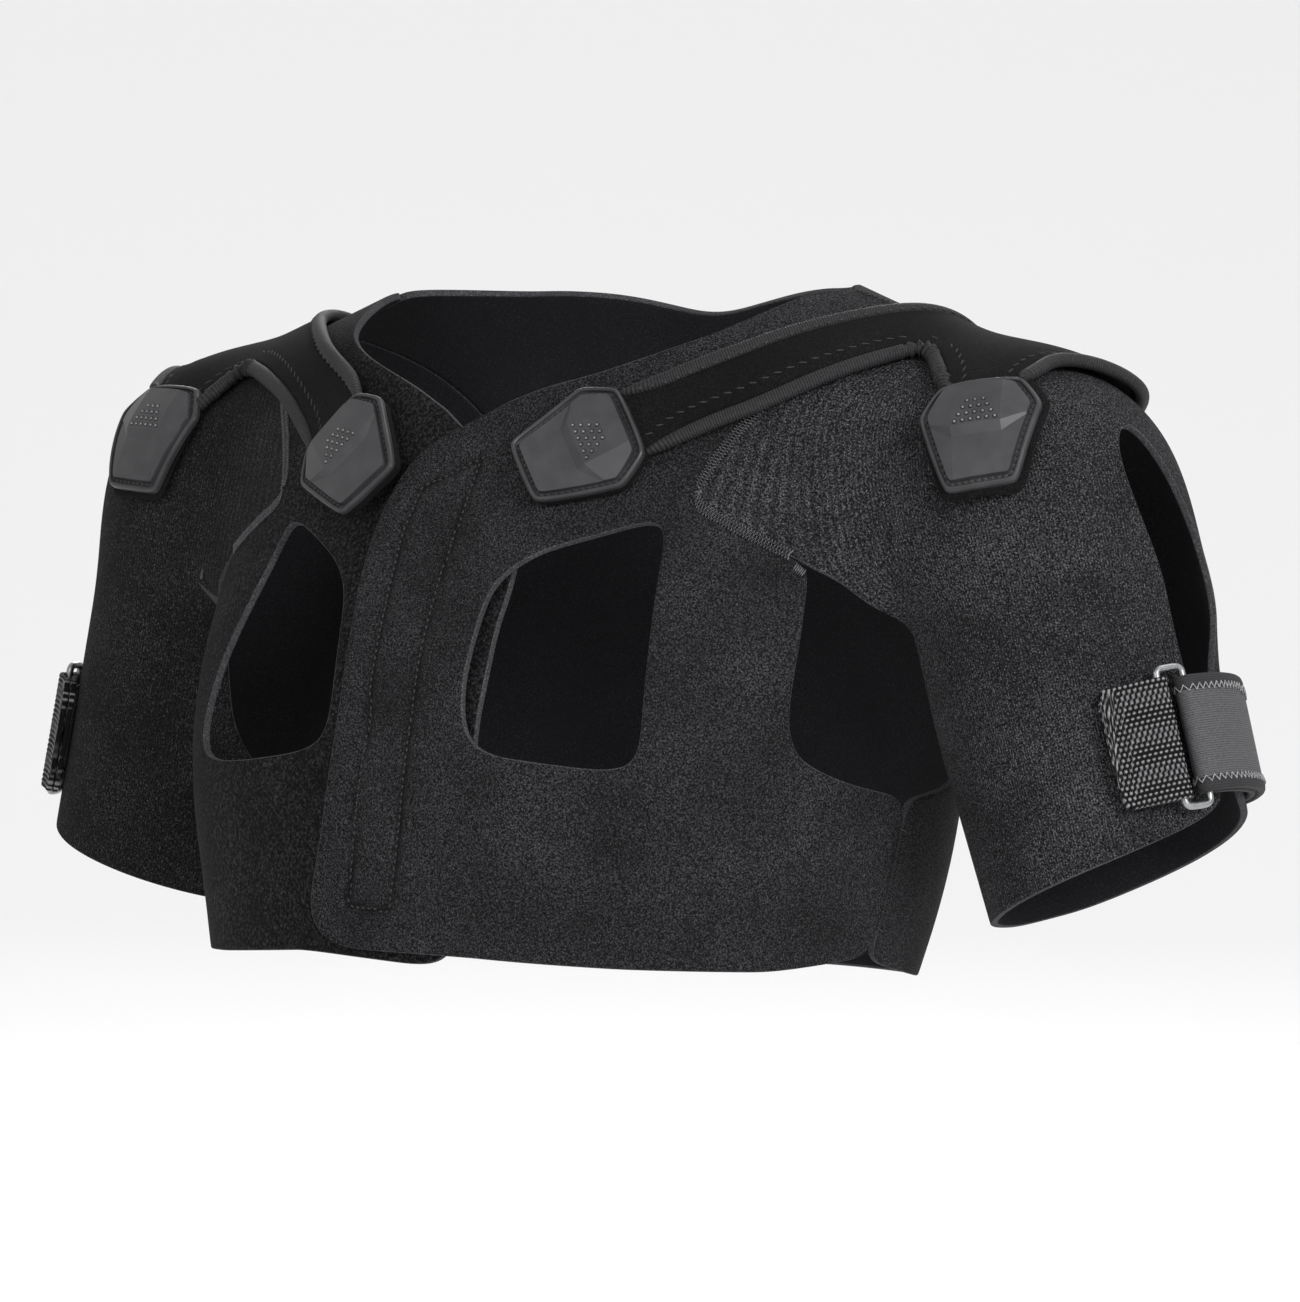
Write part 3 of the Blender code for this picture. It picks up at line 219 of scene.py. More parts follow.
def finer(node_name, name, levels, crease):
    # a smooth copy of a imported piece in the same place, with a firm cut edge
    bm = bmesh.new()
    bm.from_mesh(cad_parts[node_name].data)
    bmesh.ops.remove_doubles(bm, verts=bm.verts, dist=0.00001)
    bmesh.ops.join_triangles(bm, faces=bm.faces, angle_face_threshold=math.radians(40),
                             angle_shape_threshold=math.radians(60))
    bm.normal_update()
    sort_faces(bm)
    firm = bm.edges.layers.float.new("crease_edge")
    for edge in bm.edges:
        if len({face.material_index for face in edge.link_faces}) > 1:
            edge[firm] = crease
    coarse = bpy.data.meshes.new(name)
    bm.to_mesh(coarse)
    bm.free()
    thing = bpy.data.objects.new(name, coarse)
    bpy.context.scene.collection.objects.link(thing)
    modifier = thing.modifiers.new("smooth", "SUBSURF")
    modifier.levels = modifier.render_levels = levels
    graph = bpy.context.evaluated_depsgraph_get()
    fine = bpy.data.meshes.new_from_object(thing.evaluated_get(graph))
    thing.modifiers.clear()
    thing.data = fine
    bpy.data.meshes.remove(coarse)
    fine.name = name
    return thing


def dress(thing, materials, node_name=None):
    for made in materials:
        thing.data.materials.append(made)
    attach(thing, "root")
    if node_name:
        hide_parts(node_name)
    return thing


# each arm's shoulder joint and elbow, as the solids were built on them, and how far down it its ring sits
ARM_JOINTS = {"left": ((0.197568, 0.0240, -0.0690), (0.285328, 0.0254, -0.3600)),
              "right": ((-0.193844, 0.02208, -0.0690), (-0.2584, 0.0050, -0.3600))}
RING_DOWN = {"left": 0.1032, "right": 0.1075}
ARM_RADIUS = 0.0625


def arm_frame(word):
    # the place on the arm's axis at its ring, then the ways along the arm, to the front and outward, each
    # to four places
    shoulder, elbow = (np.array(joint) for joint in ARM_JOINTS[word])
    along = (elbow - shoulder) / np.linalg.norm(elbow - shoulder)
    front = np.array((0.0, -1.0, 0.0)) + along[1] * along
    front /= np.linalg.norm(front)
    out = np.cross(front, along) * (1 if word == "left" else -1)
    return [np.round(value, 4) for value in (shoulder + along * RING_DOWN[word], along, front, out)]


def round_arm(word, places):
    # distance round the arm and along it, in metres
    centre, along, front, out = arm_frame(word)
    away = np.asarray(places) - centre
    return np.arctan2(away @ front, away @ out) * ARM_RADIUS, away @ along


def store_uv(thing, name, across, along):
    layer = thing.data.uv_layers.new(name=name)
    corners = np.array([corner.vertex_index for corner in thing.data.loops])
    layer.data.foreach_set("uv", np.stack([across[corners], along[corners]], 1).astype(np.float32).ravel())


FRONT_PILE = pile_cloth("brushed_neoprene_pile", "#0d0d0e", "#4e4e51", 0.7, 1.3, 0.30, pale=0.5)
LOOP_FRONT = pile_cloth("looped_front_pile", "#0a0a0b", "#3c3c3e", 1.3, 1.9, 0.45, pale=0.5)
SLEEVE_PILE = pile_cloth("looped_neoprene_pile", "#0d0d0e", "#6c6c70", 0.7, 1.3, 0.40, 1.3, pale=0.85)
# the far sleeve's pile is a darker copy of the near sleeve's: painted shade
FAR_SLEEVE_SHADED_PILE = pile_cloth("short_neoprene_pile", "#0b0b0b", "#4c4c4e", 0.7, 1.8, 0.25, 1.3, pale=0.6)
FOAM_EDGE = pile_cloth("cut_neoprene_foam", "#2a2a2c", "#626265", 0.6, 1.2, 0.10)
LINING = pile_cloth("jersey_lining", "#18181a", "#2e2e31", 0.6, 1.5, 0.10)

# piece, slot, face, width and length of the cloth laid flat (m)
sheets = {}
for node_name, slot, face, wide, long in (
        ("front_panel_right", "neoprene_pile_black", LOOP_FRONT, 0.26, 0.36),
        ("front_panel_left", "neoprene_pile_black", FRONT_PILE, 0.26, 0.34),
        ("back_panel", "neoprene_pile_black", FRONT_PILE, 0.45, 0.32),
        ("sleeve_left", "neoprene_loop_black", SLEEVE_PILE, 0.39, 0.29),
        ("sleeve_right", "neoprene_loop_black", FAR_SLEEVE_SHADED_PILE, 0.39, 0.29)):
    sheets[node_name] = finer(node_name, node_name + "_cloth", 3, CLOTH_CREASE)
    dress(sheets[node_name], (face, FOAM_EDGE, LINING), node_name)
    if "sleeve" in node_name:
        places = [v.co for v in sheets[node_name].data.vertices]
        store_uv(sheets[node_name], "round_arm", *round_arm(node_name.split("_")[1], places))


# Hook strip pocket on the left front: two rows of black lockstitch hold the hook strip behind the face and
# draw the pile down into a shallow channel. Points on the picture, cast on the cloth.
CHANNEL = ((481, 457), (450, 472), (420, 487), (402, 529), (385, 600), (369, 685), (369, 718), (356, 792),
           (350, 870), (347, 905), (367, 909), (387, 912), (394, 860), (398, 825), (404, 760), (409, 722),
           (419, 651), (439, 574), (457, 522), (469, 488), (481, 457))
CHANNEL_DEEP, CHANNEL_WIDE = 0.0015, 0.0026
CHANNEL_STEP, CHANNEL_STITCH = 0.0009, 0.0029


def surface(thing):
    mesh = thing.data
    return BVHTree.FromPolygons([v.co for v in mesh.vertices], [list(p.vertices) for p in mesh.polygons])


def even(points, pitch, closed=False):
    # a run of points at an even pitch
    points = np.asarray(points, float)
    if closed:
        points = np.vstack([points, points[:1]])
    run = np.concatenate([[0], np.cumsum(np.linalg.norm(np.diff(points[:, :3], axis=0), axis=1))])
    count = max(2, round(run[-1] / pitch) + 1)
    at = np.linspace(0, run[-1], count)
    return np.stack([np.interp(at, run, points[:, i]) for i in range(points.shape[1])], 1)


def press_in(thing, line, deep, wide):
    # draws the face in along a line, as tight stitching does, and stores how near each point is to it, which
    # sets the painted shade in the groove
    mesh = thing.data
    places = np.array([v.co for v in mesh.vertices])
    normal = np.array([v.normal for v in mesh.vertices])
    fine = even(line, 0.001)
    low, high = fine.min(0) - 3 * wide, fine.max(0) + 3 * wide
    near = np.nonzero(np.all((places > low) & (places < high), axis=1))[0]
    away = np.array([np.min(np.linalg.norm(fine - places[i], axis=1)) for i in near])
    places[near] -= normal[near] * (deep * np.exp(-(away / wide) ** 2))[:, None]
    mesh.vertices.foreach_set("co", places.ravel())
    painted_groove_shade = np.zeros(len(places))
    painted_groove_shade[near] = np.exp(-(away / (0.5 * wide)) ** 2)
    mesh.attributes.new("painted_groove_shade", "FLOAT", "POINT").data.foreach_set("value", painted_groove_shade)
    mesh.update()


def seeds(name, places, ways, outs, size, made):
    # short stitches: each a small grain lying along its way; size is length, width, height
    bm = bmesh.new()
    for place, way, out in zip(places, ways, outs):
        way, out = Vector(way).normalized(), Vector(out).normalized()
        side = out.cross(way).normalized()
        out = way.cross(side)
        turn = Matrix((way, side, out)).transposed().to_4x4()
        turn = Matrix.Translation(Vector(place)) @ turn @ Matrix.Diagonal((size[0], size[1], size[2], 1))
        bmesh.ops.create_icosphere(bm, subdivisions=1, radius=0.5, matrix=turn)
    mesh = bpy.data.meshes.new(name)
    bm.to_mesh(mesh)
    bm.free()
    mesh.shade_smooth()
    thing = bpy.data.objects.new(name, mesh)
    bpy.context.scene.collection.objects.link(thing)
    return dress(thing, (made,))


def yarn(name, dark, light, shine):
    # spun polyester thread: fine pale fibres over a dark core
    made, tree = blank_material(name)
    place = node(tree, "ShaderNodeTexCoord").outputs["Object"]
    fibre = node(tree, "ShaderNodeTexNoise", {"Vector": place, "Scale": 1000 / 0.35, "Detail": 2.0})
    share = node(tree, "ShaderNodeMapRange", {"Value": fibre.outputs[0], "From Min": 0.4, "From Max": 0.65})
    colour = node(tree, "ShaderNodeMix", {"Factor": share.outputs[0], "A": linear(dark), "B": linear(light)},
                  data_type="RGBA")
    bump = node(tree, "ShaderNodeBump", {"Height": fibre.outputs[0], "Distance": 0.0001, "Strength": 0.8})
    shader = node(tree, "ShaderNodeBsdfPrincipled", {
        "Base Color": colour.outputs["Result"], "Roughness": shine, "Normal": bump.outputs[0]})
    node(tree, "ShaderNodeOutputMaterial", {"Surface": shader.outputs[0]})
    return made


BLACK_THREAD = yarn("black_lockstitch_thread", "#060606", "#1c1c1d", 0.6)
GREY_THREAD = yarn("grey_flatlock_thread", "#222224", "#6a6a6d", 0.8)
PALE_THREAD = yarn("pale_overlock_thread", "#4a4a4c", "#a2a2a4", 0.7)

left_face = surface(sheets["front_panel_left"])
line = [left_face.ray_cast(*picture_ray(x, y))[0] for x, y in CHANNEL]
line = even(np.array([list(point) for point in line if point]), CHANNEL_STEP)
for _ in range(3):
    line[1:-1] = (line[:-2] + 2 * line[1:-1] + line[2:]) / 4
press_in(sheets["front_panel_left"], line, CHANNEL_DEEP, CHANNEL_WIDE)
left_face = surface(sheets["front_panel_left"])
marks = even(line, CHANNEL_STITCH)
found = [left_face.find_nearest(Vector(mark)) for mark in marks]
ways = np.gradient(marks, axis=0)
seeds("front_channel_stitches", [hit[0] + hit[1] * 0.0001 for hit in found], ways, [hit[1] for hit in found],
      (0.0022, 0.0011, 0.0009), BLACK_THREAD)


# Hook strip behind the left front: woven nylon tape with rows of small stiff hooks.
def hook_tape(name, dark, light, pitch_mm):
    # rows of nylon hooks, each with a painted highlight where its bend catches the light
    made, tree = blank_material(name)
    place = node(tree, "ShaderNodeTexCoord").outputs["Object"]
    hooks = node(tree, "ShaderNodeTexVoronoi", {"Vector": place, "Scale": 1000 / pitch_mm,
                                                "Randomness": 0.25})
    share = node(tree, "ShaderNodeMapRange", {"Value": hooks.outputs["Distance"], "From Min": 0.35,
                                              "From Max": 0.1})
    colour = node(tree, "ShaderNodeMix", {"Factor": share.outputs[0], "A": linear(dark), "B": linear(light)},
                  data_type="RGBA")
    bump = node(tree, "ShaderNodeBump", {"Height": share.outputs[0], "Distance": 0.0006, "Strength": 1.0})
    shader = node(tree, "ShaderNodeBsdfPrincipled", {
        "Base Color": colour.outputs["Result"], "Roughness": 0.5, "Normal": bump.outputs[0]})
    node(tree, "ShaderNodeOutputMaterial", {"Surface": shader.outputs[0]})
    return made


hook_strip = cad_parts["front_hook_strip"]
hook_strip.data.materials.clear()
hook_strip.data.materials.append(hook_tape("nylon_hook_tape", "#0a0a0a", "#2c2c2e", 1.3))


# Flat seams: the edges of the cut pieces are butted and joined by a grey flatlock stitch, a ladder of short
# slanting threads between two rows.
LADDER_PITCH, LADDER_HALF, THREAD = 0.0026, 0.0022, 0.00075
# a piece's edge is sewn where the next one is this near
SEAM_REACH = 0.0012


def edge_runs(thing):
    # the outline of the face: closed runs of rows (place, outward, toward the inside of the piece)
    bm = bmesh.new()
    bm.from_mesh(thing.data)
    beside = {}
    for edge in bm.edges:
        if {face.material_index for face in edge.link_faces} == {0, 1}:
            a, b = edge.verts
            beside.setdefault(a, []).append(b)
            beside.setdefault(b, []).append(a)
    runs, seen = [], set()
    for start in beside:
        if start in seen:
            continue
        run = [start]
        seen.add(start)
        while True:
            ahead = [v for v in beside[run[-1]] if v not in seen]
            if not ahead:
                break
            run.append(ahead[0])
            seen.add(ahead[0])
        rows = []
        for vert in run:
            faces = [face for face in vert.link_faces if face.material_index == 0]
            out = sum((face.normal for face in faces), Vector()).normalized()
            inward = sum((face.calc_center_median() for face in faces), Vector()) / len(faces) - vert.co
            rows.append([*vert.co, *out, *(inward - out * inward.dot(out)).normalized()])
        if len(rows) > 8:
            runs.append(np.array(rows))
    bm.free()
    return runs


def stretches_near(run, tree, reach):
    # the parts of a closed run that lie within reach of another piece, or past it
    near = np.array([tree.find_nearest(Vector(row[:3]), reach)[0] is not None for row in run])
    if near.all():
        return [np.vstack([run, run[:1]])]
    start = int(np.argmin(near))
    run, near = np.roll(run, -start, axis=0), np.roll(near, -start)
    found, part = [], []
    for row, here in zip(run, near):
        if here:
            part.append(row)
        elif part:
            found.append(np.array(part))
            part = []
    if part:
        found.append(np.array(part))
    return [part for part in found if len(part) > 5]


def lay_on(trees, place, out):
    # the highest cloth surface at a place
    place, out = Vector(place), Vector(out)
    hits = [hit for hit in (tree.ray_cast(place + out * 0.005, -out, 0.009) for tree in trees) if hit[0]]
    return place + out * max([(hit[0] - place).dot(out) for hit in hits], default=0.0)


def ladder(name, parts, trees, pitch, inner, outer, thread, made):
    # slanting rungs from inner to outer along each run, laid on the cloth
    curve = bpy.data.curves.new(name, "CURVE")
    curve.dimensions = "3D"
    curve.bevel_depth = thread / 2
    curve.bevel_resolution = 1
    curve.use_fill_caps = True

    def lay(place, out):
        return lay_on(trees, place, out) + Vector(out) * thread * 0.4

    def spline(points):
        row = curve.splines.new("POLY")
        row.points.add(len(points) - 1)
        for point, place in zip(row.points, points):
            point.co = (*place, 1.0)

    for part in parts:
        rows = even(part, pitch / 2)
        if len(rows) < 6:
            continue
        zigzag = []
        for i, row in enumerate(rows):
            step = inner if i % 2 else outer
            zigzag.append(lay(row[:3] + row[6:9] * step, row[3:6]))
        spline(zigzag)
    made_from = bpy.data.objects.new(name, curve)
    bpy.context.scene.collection.objects.link(made_from)
    graph = bpy.context.evaluated_depsgraph_get()
    mesh = bpy.data.meshes.new_from_object(made_from.evaluated_get(graph))
    bpy.data.objects.remove(made_from)
    mesh.shade_smooth()
    thing = bpy.data.objects.new(name, mesh)
    bpy.context.scene.collection.objects.link(thing)
    return dress(thing, (made,))


faces = {name: surface(thing) for name, thing in sheets.items()}
for word in ("left", "right"):
    parts = []
    pair = [faces["sleeve_" + word], faces["front_panel_" + word], faces["back_panel"]]
    for run in edge_runs(sheets["sleeve_" + word]):
        parts += stretches_near(run, pair[1], SEAM_REACH) + stretches_near(run, pair[2], SEAM_REACH)
    for label, step in (("over", LADDER_HALF), ("under", -LADDER_HALF)):
        ladder("sleeve_seam_" + label + "_" + word, parts, pair, LADDER_PITCH, step, -step, THREAD,
               GREY_THREAD)
# bar tacks where a seam ends at an opening: on the picture, and the way that the seam runs there
BAR_TACKS = ((203, 572, 80), (800, 571, -35))
TACK_BARS, TACK_PITCH = 6, 0.0008
spots, ways, outs = [], [], []
for x, y, turn in BAR_TACKS:
    found = [tree.ray_cast(*picture_ray(x, y)) for tree in faces.values()]
    place, out = min((hit[3], tuple(hit[0]), tuple(hit[1])) for hit in found if hit[0])[1:]
    run = VIEW_RIGHT * math.cos(math.radians(turn)) + VIEW_UP * math.sin(math.radians(turn))
    for i in range(TACK_BARS):
        spots.append(Vector(place) + run * (i - TACK_BARS / 2) * TACK_PITCH + Vector(out) * 0.0003)
        ways.append(run.cross(Vector(out)))
        outs.append(out)
seeds("bar_tacks", spots, ways, outs, (0.0042, 0.0007, 0.0008), GREY_THREAD)

parts = []
for run in edge_runs(sheets["back_panel"]):
    for word in ("left", "right"):
        parts += stretches_near(run, faces["front_panel_" + word], SEAM_REACH)
ladder("side_seam_stitches", parts, list(faces.values()), LADDER_PITCH, LADDER_HALF, -LADDER_HALF, THREAD,
       BLACK_THREAD)


# Shoulder straps: a firm black warp knit over thin foam, forked over the deltoid, with a rolled elastic
# binding on every edge that is caught down by a grey overlock stitch.
STRAP_KNIT = pile_cloth("black_warp_knit", "#090909", "#252527", 0.6, 1.1, 0.25, pale=0.25)
STRAP_EDGE = pile_cloth("turned_strap_edge", "#0b0b0c", "#1f1f20", 0.6, 1.1, 0.10)


def rolled_binding(name, dark, light, rib_mm):
    # ribbed elastic tape: fine ribs across the roll
    made, tree = blank_material(name)
    along = node(tree, "ShaderNodeUVMap", uv_map="along").outputs[0]
    split = node(tree, "ShaderNodeSeparateXYZ", {"Vector": along})
    ribs = node(tree, "ShaderNodeMath", {0: split.outputs[0], 1: SINE_MM / rib_mm}, operation="MULTIPLY")
    ribs = node(tree, "ShaderNodeMath", {0: ribs.outputs[0]}, operation="SINE")
    place = node(tree, "ShaderNodeTexCoord").outputs["Object"]
    fibre = node(tree, "ShaderNodeTexNoise", {"Vector": place, "Scale": 1000 / 1.1, "Detail": 3.0})
    share = node(tree, "ShaderNodeMath", {0: ribs.outputs[0], 1: 0.30, 2: fibre.outputs[0]},
                 operation="MULTIPLY_ADD", use_clamp=True)
    colour = node(tree, "ShaderNodeMix", {"Factor": share.outputs[0], "A": linear(dark), "B": linear(light)},
                  data_type="RGBA")
    bump = node(tree, "ShaderNodeBump", {"Height": share.outputs[0], "Distance": 0.0003, "Strength": 1.0})
    shader = node(tree, "ShaderNodeBsdfPrincipled", {
        "Base Color": colour.outputs["Result"], "Roughness": 0.65, "Normal": bump.outputs[0],
        "Specular IOR Level": 0.2})
    node(tree, "ShaderNodeOutputMaterial", {"Surface": shader.outputs[0]})
    return made


BINDING = rolled_binding("ribbed_elastic_binding", "#070708", "#2b2b2d", 1.1)
# each pad: the middle of its underside, then the ways outward and up the strap
PADS = {
    "badge_chest_left": ((0.0565, -0.0788, -0.0432), (0.1396, -0.8952, 0.4231), (0.79, 0.3583, 0.4974)),
    "badge_arm_left": ((0.2116, -0.0319, -0.0350), (0.2103, -0.8348, 0.5087), (-0.2989, 0.4405, 0.8465)),
    "badge_chest_right": ((-0.0528, -0.0862, -0.0461), (-0.125, -0.8958, 0.4266), (-0.7184, 0.3783, 0.5838)),
    "badge_arm_right": ((-0.1990, -0.0370, -0.0379), (-0.1166, -0.8817, 0.4571), (0.141, 0.4409, 0.8864)),
}
WHIP_THREAD = yarn("dark_whip_thread", "#0e0e0f", "#2b2b2d", 0.8)
WHIP_PITCH, WHIP_IN = 0.0052, 0.0062
BINDING_SWELL, BINDING_REACH, GUIDE_STEP = 0.0007, 0.0028, 0.004
# a roll's end is drawn out to run in under its pad
TIP_REACH, TIP_LENGTH, TIP_NEAR = 0.007, 0.012, 0.042
# the ends of the last stretch that gives the tip its way, and how deep the tip itself is
TIP_DEEP, BEHIND_FROM, BEHIND_TO = 0.003, 0.008, 0.014
# the roll puckers where it turns tightly at the fork
PUCKER_RISE, PUCKER_PITCH, PUCKER_BEND = 0.0009, 0.0042, math.radians(50)


def ways_along(rows):
    # the way along a run of rows, at each row
    ways = np.gradient(rows[:, :3], axis=0)
    return ways / np.maximum(np.linalg.norm(ways, axis=1, keepdims=True), 1e-9)


def map_along(thing, line):
    # stores how far along a line each point is, and its distance from it, in metres
    line = np.asarray(line)
    run = np.concatenate([[0], np.cumsum(np.linalg.norm(np.diff(line, axis=0), axis=1))])
    places = np.array([v.co for v in thing.data.vertices])
    best = np.full(len(places), 1e9)
    along = np.zeros(len(places))
    for i in range(len(line) - 1):
        step = line[i + 1] - line[i]
        t = np.clip(((places - line[i]) @ step) / (step @ step), 0, 1)
        away = np.linalg.norm(places - line[i] - t[:, None] * step, axis=1)
        closer = away < best
        best[closer] = away[closer]
        along[closer] = run[i] + t[closer] * (run[i + 1] - run[i])
    store_uv(thing, "along", along, best)
    return along


def draw_out_tips(thing, along, pad_centres):
    # stretches each end that comes near a pad
    places = np.array([v.co for v in thing.data.vertices])
    for end, sign in ((along.min(), 1), (along.max(), -1)):
        depth = (along - end) * sign
        tip = places[depth < TIP_DEEP].mean(0)
        if min(np.linalg.norm(tip - centre) for centre in pad_centres) > TIP_NEAR:
            continue
        inner = places[(depth > BEHIND_FROM) & (depth < BEHIND_TO)].mean(0)
        way = (tip - inner) / np.linalg.norm(tip - inner)
        places += way * (TIP_REACH * np.clip(1 - depth / TIP_LENGTH, 0, 1) ** 1.5)[:, None]
    thing.data.vertices.foreach_set("co", places.ravel())
    thing.data.update()


for word in ("left", "right"):
    node_name = "shoulder_strap_" + word
    strap = sheets[node_name] = finer(node_name, node_name + "_cloth", 3, CLOTH_CREASE)
    dress(strap, (STRAP_KNIT, STRAP_EDGE, LINING), node_name)
    runs = edge_runs(strap)
    faces[node_name] = surface(strap)
    for label in ("neck", "fork", "outer"):
        node_name = "strap_binding_" + label + "_" + word
        roll = finer(node_name, "strap_roll_" + label + "_" + word, 3, 0.0)
        dress(roll, (BINDING, BINDING, BINDING), node_name)
        spots = np.array([v.co for v in roll.data.vertices])
        push = np.array([v.normal for v in roll.data.vertices])
        roll.data.vertices.foreach_set("co", (spots + push * BINDING_SWELL).ravel())
        roll.data.update()
        roll_face = surface(roll)
        parts = []
        for run in runs:
            parts += stretches_near(run, roll_face, BINDING_REACH)
        if parts:
            guide = even(max(parts, key=len)[:, :3], GUIDE_STEP)
            along = map_along(roll, guide)
            ways = np.gradient(guide, axis=0)
            ways /= np.linalg.norm(ways, axis=1, keepdims=True)
            turn = np.arccos(np.clip(np.sum(ways[:-4] * ways[4:], axis=1), -1, 1)) / PUCKER_BEND
            tight = np.interp(along, (np.arange(len(turn)) + 2) * GUIDE_STEP, np.clip(turn * 1.6 - 0.6, 0, 1))
            ripple = PUCKER_RISE * (label == "fork") * tight * np.sin(2 * math.pi * along / PUCKER_PITCH)
            spots = np.array([v.co for v in roll.data.vertices]) + push * ripple[:, None]
            roll.data.vertices.foreach_set("co", spots.ravel())
            draw_out_tips(roll, along, [np.array(pad[0]) for name, pad in PADS.items() if word in name])
            rows = np.vstack([even(part, WHIP_PITCH) for part in parts])
            run = ways_along(rows)
            if label == "neck":
                # the flat neck binding is stitched through; each stitch sinks into it
                spots = [lay_on([roll_face], row[:3] - row[6:9] * 0.0008, row[3:6]) for row in rows]
                seeds("neck_binding_stitches_" + word, spots, list(run), list(rows[:, 3:6]),
                      (0.0024, 0.0016, 0.0009), BLACK_THREAD)
            else:
                spots = [lay_on([faces["shoulder_strap_" + word]], row[:3] + row[6:9] * WHIP_IN, row[3:6])
                         for row in rows]
                seeds("whip_stitches_" + label + "_" + word, spots, list(rows[:, 6:9] * 0.5 + run),
                      list(rows[:, 3:6]), (0.0042, 0.0008, 0.0004), WHIP_THREAD)
        else:
            map_along(roll, [(0, 0, 0), (0, 0, 1)])


# Pads: moulded grey thermoplastic rubber, sewn to the strap end through a groove inside the raised lip. A
# faceted wedge rises to a step across the middle, with rows of grip dots above it.
PAD_LONG, PAD_HALF, CORNER_ROUNDS = 0.048, 0.0242, 7
# up the pad from its foot, half width (shares)
PAD_OUTLINE = ((0.0, 0.52), (0.04, 0.64), (0.63, 0.98), (0.69, 1.0), (0.75, 0.97), (0.95, 0.72), (1.0, 0.60))
# distance in from the rim, height (mm): the lip, then the sewn groove, then the foot of the raised body
PAD_PROFILE = ((0.0, -0.3), (0.0, 1.2), (0.25, 1.9), (0.7, 2.3), (1.2, 2.35), (1.7, 2.0), (2.0, 1.3),
               (2.3, 1.0), (3.3, 1.0), (3.5, 1.3))
BODY_INSET = 3.8
# the body's facets (mm): a flat middle this far to each side, a step down across it from STEP_TOP to
# STEP_FOOT that runs up to a point at the widest place, and the heights of the upper and lower parts
MIDDLE, WIDEST, STEP_POINT = 10.0, 22.0, 6.0
STEP_TOP, STEP_FOOT = 0.4, -3.3
UPPER_HIGH, LOWER_HIGH, UPPER_FALL, LOWER_FALL = 4.8, 2.8, 2.8, 1.0
# place up the pad (mm) and number of dots in each row
DOT_ROWS = ((11.0, 3), (8.1, 4), (5.1, 5), (2.2, 6))
# the dots' pitch and size, and the size of the dark flat disc of painted shade under each dot
DOT_PITCH, DOT_SIZE, SHADE_DISC_SIZE = 3.2, 1.3, 2.3


def moulded_rubber(name, dark, light):
    # fine spark-eroded mould texture: matt, with a faint sheen and faint clouds of dust at random
    made, tree = blank_material(name)
    place = node(tree, "ShaderNodeTexCoord").outputs["Object"]
    grit = node(tree, "ShaderNodeTexNoise", {"Vector": place, "Scale": 1000 / 0.30, "Detail": 2.0})
    cloud = node(tree, "ShaderNodeTexNoise", {"Vector": place, "Scale": 1000 / 9, "Detail": 3.0})
    share = node(tree, "ShaderNodeMapRange", {"Value": cloud.outputs[0], "From Min": 0.35, "From Max": 0.7})
    colour = node(tree, "ShaderNodeMix", {"Factor": share.outputs[0], "A": linear(dark), "B": linear(light)},
                  data_type="RGBA")
    rough = node(tree, "ShaderNodeMapRange", {"Value": cloud.outputs[0], "To Min": 0.36, "To Max": 0.50})
    bump = node(tree, "ShaderNodeBump", {"Height": grit.outputs[0], "Distance": 0.00004, "Strength": 0.7})
    shader = node(tree, "ShaderNodeBsdfPrincipled", {
        "Base Color": colour.outputs["Result"], "Roughness": rough.outputs[0], "Normal": bump.outputs[0],
        "Specular IOR Level": 0.35})
    node(tree, "ShaderNodeOutputMaterial", {"Surface": shader.outputs[0]})
    return made


PAD_RUBBER = moulded_rubber("moulded_grey_rubber", "#2b2b2d", "#343436")
# the lip and its sewn groove get a darker copy of the pad rubber: painted shade
PAD_LIP_SHADED = moulded_rubber("moulded_lip_rubber_painted_shade", "#232325", "#2c2c2e")
# a dark flat disc under each dot: painted shade round it
PAD_SHADE_DISC = moulded_rubber("dot_shade_disc_painted", "#0e0e0f", "#161617")
# the dots are a lighter copy of the pad rubber: painted highlight
PAD_DOT_HIGHLIGHT = moulded_rubber("dot_rubber_painted_highlight", "#555557", "#77777a")


def round_off(points, times):
    # cuts the corners of a closed outline
    for _ in range(times):
        after = np.roll(points, -1, axis=0)
        points = np.stack([0.75 * points + 0.25 * after, 0.25 * points + 0.75 * after], 1).reshape(-1, 2)
    return points


half_line = [(half * PAD_HALF, (share - 0.5) * PAD_LONG) for share, half in PAD_OUTLINE]
corners = np.array(half_line + [(-x, y) for x, y in half_line[::-1]])


def pad_ring(inset):
    # the pad's outline moved in by a distance, with rounded corners
    ahead = np.roll(corners, -1, axis=0) - corners
    ahead /= np.linalg.norm(ahead, axis=1, keepdims=True)
    inward = np.stack([-ahead[:, 1], ahead[:, 0]], 1)
    moved = []
    for i in range(len(corners)):
        lines = np.array([inward[i - 1], inward[i]])
        sides = [lines[0] @ corners[i - 1] + inset, lines[1] @ corners[i] + inset]
        moved.append(np.linalg.solve(lines, sides))
    ring = round_off(np.array(moved), 3)
    for _ in range(CORNER_ROUNDS):
        ring = (np.roll(ring, 1, axis=0) + 2 * ring + np.roll(ring, -1, axis=0)) / 4
    return ring


def body_height(x, y):
    # the moulded body's height (mm) at a place (mm): straight facets between the lines of the step
    out = min(1.0, max(0.0, (abs(x) - MIDDLE) / (WIDEST - MIDDLE)))
    top = STEP_TOP + (STEP_POINT - STEP_TOP) * out
    foot = STEP_FOOT + (STEP_POINT - STEP_FOOT) * out
    upper, lower = UPPER_HIGH - UPPER_FALL * out, LOWER_HIGH - LOWER_FALL * out
    return lower + (upper - lower) * min(1.0, max(0.0, (y - foot) / max(0.001, top - foot)))


